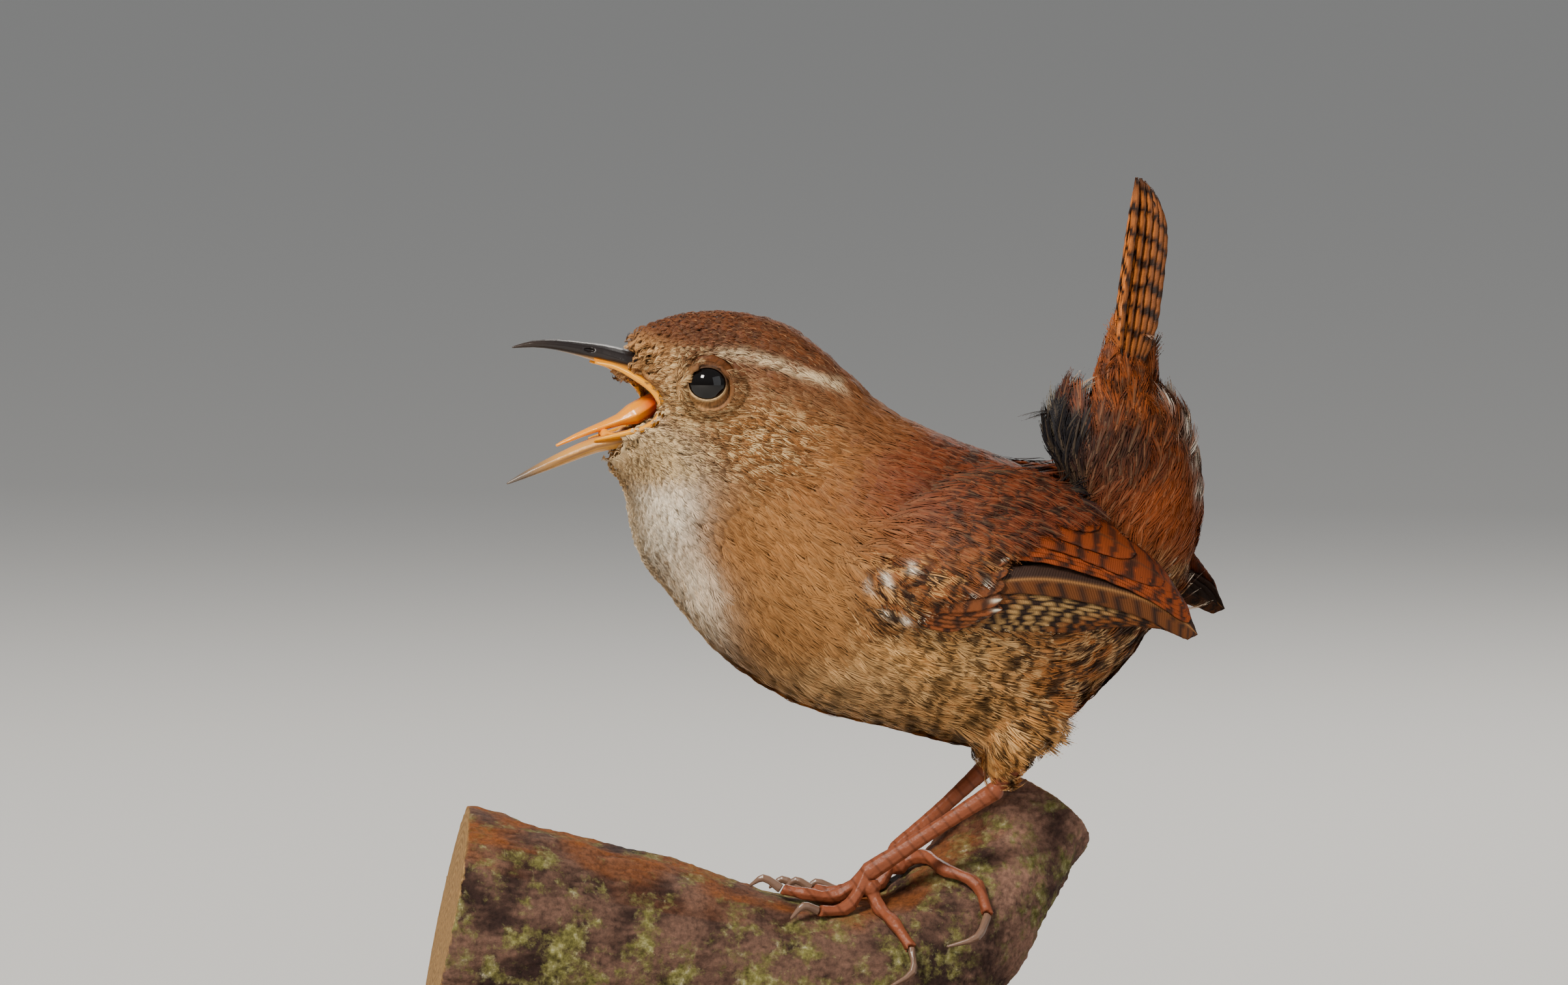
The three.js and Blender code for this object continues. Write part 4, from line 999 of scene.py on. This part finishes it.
def plumes(name, rows, seed):
    """One mesh of plumes: each barb is a blade of three quads and a point, laid on the surface below it."""
    rng = np.random.default_rng(seed)
    places, straight, normals, lies, maps = (
        column[rows] for column in (roots, straight_roots, root_normals, lie, root_maps))
    count = len(places)
    length, width = plume_sizes(straight, rng)
    beside = by_an_eye(places)
    length = length * (1 - 0.3 * beside)
    loose = ruffled(straight)
    turn = (rng.normal(0, 1, count) * (0.13 + 0.08 * loose))[:, None]
    heading = lies * np.cos(turn) + np.cross(normals, lies) * np.sin(turn)
    side = np.cross(normals, heading)
    far = places + heading * length[:, None]
    sag = np.zeros(count)
    for i in range(count):
        start = Vector(far[i] + SEEK_FROM * normals[i]) * MM
        hit = outer_tree.ray_cast(start, Vector(-normals[i]), SEEK_REACH)[0]
        if hit is not None:
            sag[i] = (np.array(hit) / MM - far[i]) @ normals[i]
        else:
            sag[i] = HANG
    sag = np.clip(sag, -2.6 + 2.3 * beside, 2.4 - 2.25 * beside)
    spread = np.linspace(-1, 1, BARBS)[None, :] + rng.normal(0, 0.06, (count, BARBS))
    edge = np.abs(spread)
    first = 0.55 * (1 - edge) + rng.uniform(-0.06, 0.06, (count, BARBS))
    last = 1.0 - 0.34 * edge ** 2 + rng.normal(0, 0.06, (count, BARBS))
    step = np.array(STEPS)
    along = first[:, :, None] + (last - first)[:, :, None] * step
    across = spread[:, :, None] * step ** 0.75
    across = across + rng.normal(0, 0.05, (count, BARBS, 1)) * step ** 2
    blade = 0.068 + 0.055 * (width[:, None, None] - 0.8)
    blade = blade * (1.0 - 0.7 * step ** 2) * rng.uniform(0.8, 1.25, (count, BARBS, 1))
    coat = COAT_DEPTH / MM * rng.uniform(0.8, 1.12, count) * (1 + 0.5 * loose) * (1 - 0.45 * beside)
    settle = 0.4 * smooth(0.62, 1.0, along) * (1 - loose[:, None, None])
    lift = coat[:, None, None] * (0.2 + 0.8 * smooth(0.0, 0.55, along) - settle)
    lift = lift + sag[:, None, None] * along ** 2 - 0.08 * width[:, None, None] * across ** 2
    lift = lift + rng.normal(0, 0.035, (count, BARBS, 1)) * step
    grid = []
    for sign in (-1, 1):
        offset = across * width[:, None, None] * 0.5 + sign * blade * 0.5
        grid.append(
            places[:, None, None, :]
            + heading[:, None, None, :] * (along * length[:, None, None])[..., None]
            + side[:, None, None, :] * offset[..., None]
            + normals[:, None, None, :] * (lift + 0.012 * sign)[..., None])
    points = np.stack(grid, axis=3)
    flat = (count, BARBS * STATIONS)
    along, across = along.reshape(flat), across.reshape(flat)
    at = straight[:, None] + heading[:, None] * (along * length[:, None])[..., None]
    at = at + side[:, None] * (across * width[:, None] * 0.5)[..., None]
    strand = np.repeat(rng.random((count, BARBS)), STATIONS, axis=1)
    colours = plume_colours(straight, at, along, across, length, rng.random((count, 5)), strand)
    colours = np.repeat(colours.reshape(count, BARBS, STATIONS, 1, 3), 2, axis=3)
    colours = colours * rng.uniform(0.86, 1.14, (count, BARBS, 1, 1, 1))
    local = np.stack([np.clip(across, -1, 1) * 0.5, along - 0.5], axis=-1) * MAP_PATCH
    on_map = np.repeat((maps[:, None, :] + local)[:, :, None, :], 2, axis=2)
    pattern = []
    for k in range(STATIONS - 1):
        a = 2 * k
        pattern += [(a, a + 2, a + 3), (a, a + 3, a + 1)]
    starts = np.arange(count * BARBS) * STATIONS * 2
    faces = (starts[:, None, None] + np.array(pattern[:-1])[None]).reshape(-1, 3)
    return mesh_piece(name, points.reshape(-1, 3) * MM, faces, colours.reshape(-1, 3), on_map.reshape(-1, 2))


plumage = marked_material("plumage", 0.62)
order = np.argsort(straight_roots[:, 0] - 0.5 * straight_roots[:, 2])
parts = math.ceil(len(order) * BARBS * BLADE_TRIANGLES / PIECE_TRIANGLES)
for part, rows in enumerate(np.array_split(order, parts)):
    coat_piece = plumes("coat_%d" % (part + 1), rows, COAT_SEED + part)
    coat_piece.data.materials.append(plumage)
    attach(coat_piece, BODY)

# Bill: two slender horn sheaths, the upper near black with a yellowish edge, the lower pale with a dark tip.
# Each is the CAD mandible made smooth, with a fine grain.
BILL_VOXEL = 0.11 * MM


def smooth_piece(node, name, voxel, rounds):
    """A CAD piece made smooth, which takes the place of the plain one."""
    piece = copy_of(node, name)
    remeshed(piece, voxel, rounds)
    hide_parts(node)
    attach(piece, BODY)
    return piece


def horn_material(name, roughness):
    """Horn or wet skin: the piece's markings under a slight shine."""
    material = marked_material(name, roughness, grain=0.25)
    material.node_tree.nodes["Principled BSDF"].inputs["Specular IOR Level"].default_value = 0.4
    return material


horn = horn_material("bill_horn", 0.32)
upper_bill = smooth_piece("bill_upper", "upper_mandible", BILL_VOXEL, 3)
places = straightened(points_of(upper_bill.data) / MM)
ridge_line = np.interp(places[:, 0], (-40, -35, -31, -27, -24), (103.5, 103.4, 102.6, 101.6, 100.6))
edge_share = smooth(0.15, -0.25, places[:, 2] - ridge_line + 0.2)[:, None]
dark_horn = linear("1d1716") + linear("6b5138") * 0.12 * smooth(-34, -41, places[:, :1])
paint(upper_bill.data, dark_horn * (1 - edge_share) + linear("b98a45") * edge_share)
upper_bill.data.materials.append(horn)

lower_bill = smooth_piece("bill_lower", "lower_mandible", BILL_VOXEL, 3)
places = straightened(points_of(lower_bill.data) / MM)
tip_share = smooth(-33.5, -40, places[:, :1])
middle_line = np.interp(places[:, 0], (-40.9, -36.8, -31.2, -24.6), (88.4, 90.3, 92.6, 93.9))
stripe = np.exp(-((places[:, 2] - middle_line + 0.05) / 0.26) ** 2)[:, None] * smooth(-38, -34, places[:, :1])
pale_horn = linear("c98f42") * (1 - tip_share) + linear("5f5348") * tip_share
paint(lower_bill.data, pale_horn * (1 - 0.72 * stripe) + linear("4d2f22") * 0.72 * stripe)
lower_bill.data.materials.append(horn)

# Mouth: a moist yellow tongue and floor, a thin lining that reddens towards the throat,
# and the soft yellow flange that rims the gape on each side.
wet = horn_material("mouth_lining", 0.22)
wet_shader = wet.node_tree.nodes["Principled BSDF"]
wet_shader.inputs["Subsurface Weight"].default_value = 0.08
wet_shader.inputs["Subsurface Radius"].default_value = (0.002, 0.001, 0.0005)
tongue = smooth_piece("tongue", "tongue_and_floor", BILL_VOXEL, 3)
places = straightened(points_of(tongue.data) / MM)
back_share = smooth(-27.0, -24.5, places[:, :1])
paint(tongue.data, linear("f09600") * (1 - back_share) + linear("c23c08") * back_share)
tongue.data.materials.append(wet)

FLANGE = (
    (-31.3, 1.45, 101.95), (-29.2, 2.3, 101.45), (-27.3, 3.3, 100.4), (-25.6, 4.2, 99.1), (-24.6, 4.7, 97.5),
    (-24.8, 4.6, 95.9), (-26.2, 4.0, 94.7), (-28.6, 2.9, 94.0), (-31.4, 1.7, 93.3),
)
FLANGE_RADIUS = 0.42
FLANGE_SIDES = 10
FLANGE_STEPS = 60
FLANGE_END = 0.12


def turned(points):
    """Places of the straight profile, turned to the side with the head."""
    x, y, z = points.T
    angle = HEAD_YAW * turn_share(x, z)
    return np.stack([x - y * np.sin(angle), (x - TURN_X) * np.tan(angle) + y * np.cos(angle), z], axis=1)


def tube(points, radii, sides):
    """A closed tube through points, in millimetres, with its own radius at each."""
    ahead = unit(np.gradient(points, axis=0))
    reference = np.array((0.0, 1.0, 0.13))
    across = unit(np.cross(ahead, reference))
    up = np.cross(across, ahead)
    angles = np.linspace(0, 2 * math.pi, sides, endpoint=False)
    rings = (points[:, None, :] + radii[:, None, None] * (
        across[:, None, :] * np.cos(angles)[None, :, None] + up[:, None, :] * np.sin(angles)[None, :, None]))
    count = len(points)
    places = np.concatenate([rings.reshape(-1, 3), points[:1], points[-1:]])
    faces = []
    for i in range(count - 1):
        for j in range(sides):
            a, b = i * sides + j, i * sides + (j + 1) % sides
            faces += [(a, b, b + sides), (a, b + sides, a + sides)]
    for j in range(sides):
        faces.append((count * sides, (j + 1) % sides, j))
        faces.append((count * sides + 1, (count - 1) * sides + j, (count - 1) * sides + (j + 1) % sides))
    return places, np.array(faces)


LINING_MIDDLE = (
    (-31.3, 0, 102.5), (-28.8, 0, 101.9), (-26.2, 0, 100.9), (-23.8, 0, 99.4), (-21.8, 0, 97.4),
    (-23.0, 0, 95.4), (-25.4, 0, 94.0), (-28.2, 0, 93.3), (-31.4, 0, 92.9),
)
LINING_ROWS = 48
LINING_COLUMNS = 25
LINING_THICK = 0.12
MOUTH_MIDDLE = np.array((-29.0, 0.0, 97.6))
side_line = curve_through(FLANGE)(np.linspace(0, 1, LINING_ROWS))
middle_line = curve_through(LINING_MIDDLE)(np.linspace(0, 1, LINING_ROWS))
lining_across = np.linspace(-1, 1, LINING_COLUMNS)
bulge = (1 - np.abs(lining_across) ** 2.4)[None, :, None]
level = np.ones_like(lining_across)
flat = side_line[:, None, :] * np.stack([level, lining_across, level], axis=1)[None]
arched = np.broadcast_to(middle_line[:, None, :], flat.shape).copy()
arched[..., 1] = flat[..., 1]
lining = flat * (1 - bulge) + arched * bulge
outward = unit((lining - MOUTH_MIDDLE).reshape(-1, 3)).reshape(lining.shape)
red = np.exp(-((np.linspace(0, 1, LINING_ROWS)[:, None] - 0.48) / 0.2) ** 2) * bulge[:, :, 0] ** 1.5
lining_colours = (linear("e08800") * (1 - red[..., None]) + linear("641004") * red[..., None]).reshape(-1, 3)
both = np.concatenate([lining.reshape(-1, 3), (lining + outward * LINING_THICK).reshape(-1, 3)])
lining_faces = closed_sheet(LINING_ROWS, LINING_COLUMNS)
lining_colours = np.concatenate([lining_colours] * 2)
mouth_lining = mesh_piece("mouth_lining", turned(both) * MM, lining_faces, lining_colours)
facing_out(mouth_lining)
mouth_lining.data.materials.append(wet)
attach(mouth_lining, BODY)

for label, side in (("left", -1), ("right", 1)):
    line = curve_through(np.array(FLANGE) * np.array((1, side, 1)))(np.linspace(0, 1, FLANGE_STEPS))
    thin = FLANGE_RADIUS * np.sin(np.linspace(FLANGE_END, math.pi - FLANGE_END, FLANGE_STEPS)) ** 0.5
    flange_points, flange_faces = tube(turned(line), thin, FLANGE_SIDES)
    flange_colours = np.broadcast_to(linear("e89a04"), flange_points.shape)
    flange = mesh_piece("gape_flange_" + label, flange_points * MM, flange_faces, flange_colours)
    flange.data.materials.append(wet)
    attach(flange, BODY)

# Eyes: near-black brown balls with a clear wet surface, each between two thin lids of bare skin.
# The lower lid is the paler one, as the photo shows.
EYE_RADIUS = 2.55 * MM
EYE_OPENING = (2.06, 1.76)
LID_APRON = 0.55
LID_COLUMNS = 120
LID_SEEK = 6.0
LID_SEED = 3
LID_SECTION = (
    (0.0, 0.02), (0.02, 0.16), (0.08, 0.26), (0.16, 0.24), (0.24, 0.16), (0.4, 0.1), (0.6, 0.06), (0.8, 0.03),
    (1.0, 0.0), (1.0, -0.3), (0.6, -0.3), (0.3, -0.2))
eye_glass = material_of("eye_black", tuple(linear("070403")), 0.05, 0.4)
rim_material = marked_material("eyelid_skin", 0.5)
for label, middle, look in zip(("left", "right"), eye_middles, eye_looks):
    bpy.ops.object.select_all(action="DESELECT")
    bpy.ops.mesh.primitive_uv_sphere_add(segments=64, ring_count=40, radius=EYE_RADIUS, location=middle)
    eye = bpy.context.object
    eye.name = "eyeball_" + label
    bpy.ops.object.shade_smooth()
    bpy.ops.object.transform_apply(location=True, rotation=True, scale=True)
    eye.data.materials.append(eye_glass)
    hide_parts("eye_" + label)
    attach(eye, BODY)
    across = unit(np.cross(look, (0, 0, 1))[None])[0]
    upward = np.cross(across, look)
    angles = np.linspace(0, 2 * math.pi, LID_COLUMNS, endpoint=False)[:, None]
    opening = 1 / np.hypot(np.cos(angles) / EYE_OPENING[0], np.sin(angles) / EYE_OPENING[1])
    round_eye = across * np.cos(angles) + upward * np.sin(angles)
    centre = np.array(middle) / MM
    ball = EYE_RADIUS / MM
    skin_depth = []
    for direction in round_eye:
        start = centre + direction * (LID_EDGE + LID_APRON) + look * LID_SEEK
        hit = skin_tree.ray_cast(Vector(start) * MM, Vector(-look), 2 * LID_SEEK * MM)[0]
        skin_depth.append((np.array(hit) / MM - centre) @ look if hit else 0.0)
    skin_depth = np.clip(np.array(skin_depth), -1.0, 2.2)[:, None]
    share, proud = (np.array(column)[None, :] for column in zip(*LID_SECTION))
    aside = opening + (LID_EDGE + LID_APRON - opening) * share
    on_ball = np.sqrt(np.maximum(ball ** 2 - np.minimum(aside, ball) ** 2, 0))
    depth = on_ball + (skin_depth + 0.05 - on_ball) * smooth(0.1, 1.0, share) + proud
    depth = np.where((proud >= 0) & (aside < ball), np.maximum(depth, on_ball + 0.07), depth)
    lid_points = centre + aside[..., None] * round_eye[:, None, :] + depth[..., None] * look
    below = np.broadcast_to(smooth(0.1, -0.7, np.sin(angles)), depth.shape)[..., None]
    margin = np.broadcast_to(share < 0.2, depth.shape)[..., None]
    lid_points = lid_points.reshape(-1, 3)
    lid_colours = np.where(margin, linear("4a3220") * (1 - below) + linear("c19c6c") * below,
                           skin_colour(lid_points).reshape(*depth.shape, 3) * 1.3)
    mottle = np.random.default_rng(LID_SEED).uniform(0.55, 1.25, depth.shape)[..., None]
    lid_colours = (lid_colours * mottle).reshape(-1, 3)
    i, j = np.meshgrid(np.arange(LID_COLUMNS), np.arange(len(LID_SECTION)), indexing="ij")
    i_next, j_next = (i + 1) % LID_COLUMNS, (j + 1) % len(LID_SECTION)
    quads = ((i, j), (i_next, j), (i_next, j_next), (i, j_next))
    a, b, c, d = ((column * len(LID_SECTION) + row).ravel() for column, row in quads)
    lid_faces = np.concatenate([np.stack([a, b, c], 1), np.stack([a, c, d], 1)])
    lids = mesh_piece("eyelids_" + label, lid_points * MM, lid_faces, lid_colours)
    facing_out(lids)
    lids.data.materials.append(rim_material)
    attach(lids, BODY)

# Legs: a scaled shank and four toes on each side in brown-pink skin, with hooked claws of darker horn.
# Each is the CAD piece made smooth and a little fuller, and shanks and toes show the rings of their scutes.
LEG_VOXEL = 0.13 * MM
CLAW_VOXEL = 0.08 * MM
SCUTE_STEP = 1.5
LEG_SEED = 5
leg_skin = marked_material("leg_skin", 0.42, grain=0.5, grain_size=1500)
claw_horn = horn_material("claw_horn", 0.3)


def scaled_skin(points):
    """Leg colour with the dark joints between its scutes, which ring the shank about every 1.5 mm."""
    rng = np.random.default_rng(LEG_SEED)
    band = 0.5 + 0.5 * np.cos(2 * np.pi * (points[:, 0] * 0.76 + points[:, 2] * 0.62) / SCUTE_STEP)
    joint = smooth(0.86, 0.99, band)[:, None]
    flush = linear("7c432b") * rng.uniform(0.94, 1.06, (len(points), 1))
    return flush * (1 - 0.5 * joint) + linear("43200f") * 0.5 * joint


# The skin of the leg runs on unbroken over the heel above and the ankle below.
HEELS = {"left": (13.6, -5.4, 53.9), "right": (12.3, 5.4, 55.4)}
ANKLES = {"left": (-0.5, -3.7, 44.7), "right": (2.7, 2.2, 46.7)}
HEEL_LINE = Vector((0.55, 0, 0.83))
HEEL_SWELL = ((0.0, 1.02), (1.6, 1.12), (3.0, 1.25))
ANKLE_RADIUS = 0.92
SKIN_GROWTH = 0.07 * MM


def grown(piece, by):
    """A piece made fuller all over by a distance."""
    swell = piece.modifiers.new("swell", "DISPLACE")
    swell.strength = by
    swell.mid_level = 0
    select_only(piece)
    bpy.ops.object.modifier_apply(modifier="swell")


for label in ("left", "right"):
    for node, name in (("tarsus_" + label, "shank_" + label), ("foot_" + label, "toes_" + label)):
        piece = copy_of(node, name)
        heel, ankle = Vector(HEELS[label]), Vector(ANKLES[label])
        balls = [(ankle, ANKLE_RADIUS)]
        if node.startswith("tarsus"):
            balls += [(heel + HEEL_LINE * reach, radius) for reach, radius in HEEL_SWELL]
        knuckles = []
        for place, radius in balls:
            bpy.ops.object.select_all(action="DESELECT")
            bpy.ops.mesh.primitive_uv_sphere_add(
                segments=24, ring_count=16, radius=radius * MM, location=place * MM)
            bpy.ops.object.transform_apply(location=True, rotation=True, scale=True)
            knuckles.append(bpy.context.object)
        select_only(piece, *knuckles)
        bpy.ops.object.join()
        remeshed(piece, LEG_VOXEL, 2)
        grown(piece, SKIN_GROWTH)
        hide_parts(node)
        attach(piece, BODY)
        paint(piece.data, scaled_skin(points_of(piece.data) / MM))
        piece.data.materials.append(leg_skin)
    for toe in ("hallux", "inner", "middle", "outer"):
        claw = smooth_piece("claw_%s_%s" % (label, toe), "hook_%s_%s" % (label, toe), CLAW_VOXEL, 1)
        grown(claw, SKIN_GROWTH)
        paint(claw.data, np.broadcast_to(linear("6d5343"), (len(claw.data.vertices), 3)))
        claw.data.materials.append(claw_horn)

# Perch: a cut length of an old branch, its cracked purple-brown bark turning orange along the top.
# Grey-green lichen grows on its sides, and both sawn ends show pale wood with growth rings.
PERCH_VOXEL = 0.34 * MM
PERCH_ENDS = (((-48.0, -2.5, 38.6), (13.3, 1.0, -2.8)), ((19.3, 12.0, 50.6), (-4.3, -3.0, -5.6)))
CUT_DEPTH = 0.35
CUT_SOFTNESS = 0.25
END_REACH = 14.0
RING_STEP = 0.9
BARK_RELIEF = 0.34
SWELL_SCALE = 0.16
CRACK_SCALE = 0.9
CRACK_STRETCH = 0.25
CRACK_SHARE = 0.8
TOP_PATCH_SCALE = 0.2


def bark_height(place):
    """Rise and fall of the bark at a place: broad swells, and cracks that run along the branch."""
    swell = noise.fractal(Vector(place) * SWELL_SCALE, 0.9, 2.1, 5)
    stretched = Vector((place[0] * CRACK_STRETCH, place[1], place[2]))
    return swell + CRACK_SHARE * abs(noise.fractal(stretched * CRACK_SCALE, 1, 2, 3))


perch = smooth_piece("perch", "branch", PERCH_VOXEL, 2)
places = points_of(perch.data) / MM
normals = np.empty(len(places) * 3, dtype=np.float32)
perch.data.vertices.foreach_get("normal", normals)
normals = normals.reshape(-1, 3).astype(float)
sawn = np.zeros(len(places))
ring_phase = np.zeros(len(places))
for end, inward in PERCH_ENDS:
    inward = np.array(inward) / np.linalg.norm(inward)
    away = places - np.array(end)
    depth = away @ inward
    across_end = np.linalg.norm(away - depth[:, None] * inward, axis=1)
    face = smooth(CUT_DEPTH + CUT_SOFTNESS, CUT_DEPTH, depth) * smooth(0.5, 0.8, -(normals @ inward))
    face = face * (across_end < END_REACH)
    sawn = np.maximum(sawn, face)
    ring_phase = np.where(face > 0, across_end, ring_phase)
relief = np.array([bark_height(place) for place in places])
relief = relief - relief.mean()
moved = (places + normals * (BARK_RELIEF * relief * (1 - sawn))[:, None]) * MM
perch.data.vertices.foreach_set("co", moved.astype(np.float32).ravel())
# The bark is orange in patches on its upward-facing top, and the lichen is thinner there.
top_patches = np.array([noise.noise(Vector(place) * TOP_PATCH_SCALE) for place in places])
orange_top = smooth(0.55, 0.95, normals[:, 2]) * smooth(-0.5, 0.2, top_patches)
tone = smooth(-0.6, 0.6, relief)[:, None]
bark_colour = linear("33231f") * (1 - tone) + linear("6d5245") * tone
bark_colour = bark_colour * (1 + 0.9 * smooth(8, 19, places[:, :1]))
bark_colour = bark_colour * (1 - orange_top[:, None]) + linear("80491f") * orange_top[:, None]
rings = (0.5 + 0.5 * np.cos(2 * np.pi * ring_phase / RING_STEP))[:, None]
wood_colour = linear("b8935f") * (1 - 0.7 * rings) + linear("7a5733") * 0.7 * rings
sawn = sawn[:, None]
paint(perch.data, bark_colour * (1 - sawn) + wood_colour * sawn)
growth = perch.data.attributes.new("lichen", "FLOAT", "POINT")
growth.data.foreach_set("value", ((1 - sawn[:, 0]) * (1 - 0.75 * orange_top)).astype(np.float32))

bark = marked_material("bark", 0.85)
bark_tree = bark.node_tree
LICHEN_STOPS = (
    (0.34, linear("45401f")), (0.50, linear("6f6a38")), (0.62, linear("8f8a5a")), (0.72, linear("bdb494")))
COVER_STOPS = ((0.50, (0, 0, 0)), (0.60, (1, 1, 1)))
SPECKLE_STOPS = ((0.3, (0.45, 0.45, 0.45)), (0.7, (1.25, 1.2, 1.15)))


def mixed(tree, factor, first, second, blend="MIX"):
    """Two colours of a material mixed by a factor."""
    mix = new_node(tree, "Mix")
    mix.data_type = "RGBA"
    mix.blend_type = blend
    tree.links.new(factor, mix.inputs["Factor"])
    tree.links.new(first, mix.inputs["A"])
    tree.links.new(second, mix.inputs["B"])
    return mix.outputs["Result"]


lichen = ramp_node(bark_tree, noise_node(bark_tree, 1100, 8, 0.6), LICHEN_STOPS)
cover = ramp_node(bark_tree, noise_node(bark_tree, 230, 9, 0.72), COVER_STOPS)
amount = new_node(bark_tree, "Math")
amount.operation = "MULTIPLY"
bark_tree.links.new(cover, amount.inputs[0])
bark_tree.links.new(attribute_of(bark_tree, "lichen", "Fac"), amount.inputs[1])
speckle = ramp_node(bark_tree, noise_node(bark_tree, 1800, 6, 0.6), SPECKLE_STOPS)
full = new_node(bark_tree, "Value").outputs["Value"]
full.default_value = 1.0
speckled = mixed(bark_tree, full, attribute_of(bark_tree, "marking"), speckle, "MULTIPLY")
overgrown = mixed(bark_tree, amount.outputs["Value"], speckled, lichen)
bark_tree.links.new(overgrown, bark_tree.nodes["Principled BSDF"].inputs["Base Color"])
bumped(bark_tree, noise_node(bark_tree, 750, 10, 0.72), 0.9, 0.6 * MM)
perch.data.materials.append(bark)

# Stand: a polished dark wooden base and two brass rods that hold the branch up.
# Their shapes are carried over from the CAD as they are, and only their finishes are set here.
WOOD_STOPS = ((0.35, linear("2b180d")), (0.55, linear("4a2b17")), (0.70, linear("65402a")))
wood = material_of("base_wood", (0.05, 0.03, 0.02), 0.35, 0.5)
wood_tree = wood.node_tree
wood_shader = wood_tree.nodes["Principled BSDF"]
wood_shader.inputs["Coat Weight"].default_value = 0.3
wood_grain = noise_node(wood_tree, 26.0, 8.0, squeeze=(1.0, 14.0, 14.0))
wood_tree.links.new(ramp_node(wood_tree, wood_grain, WOOD_STOPS), wood_shader.inputs["Base Color"])
brass = material_of("rod_brass", tuple(linear("b08d4a")), 0.28, 0.5)
brass.node_tree.nodes["Principled BSDF"].inputs["Metallic"].default_value = 1.0
for node, finish in (("stand_base", wood), ("stand_rod_1", brass), ("stand_rod_2", brass)):
    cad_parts[node].data.materials.clear()
    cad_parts[node].data.materials.append(finish)
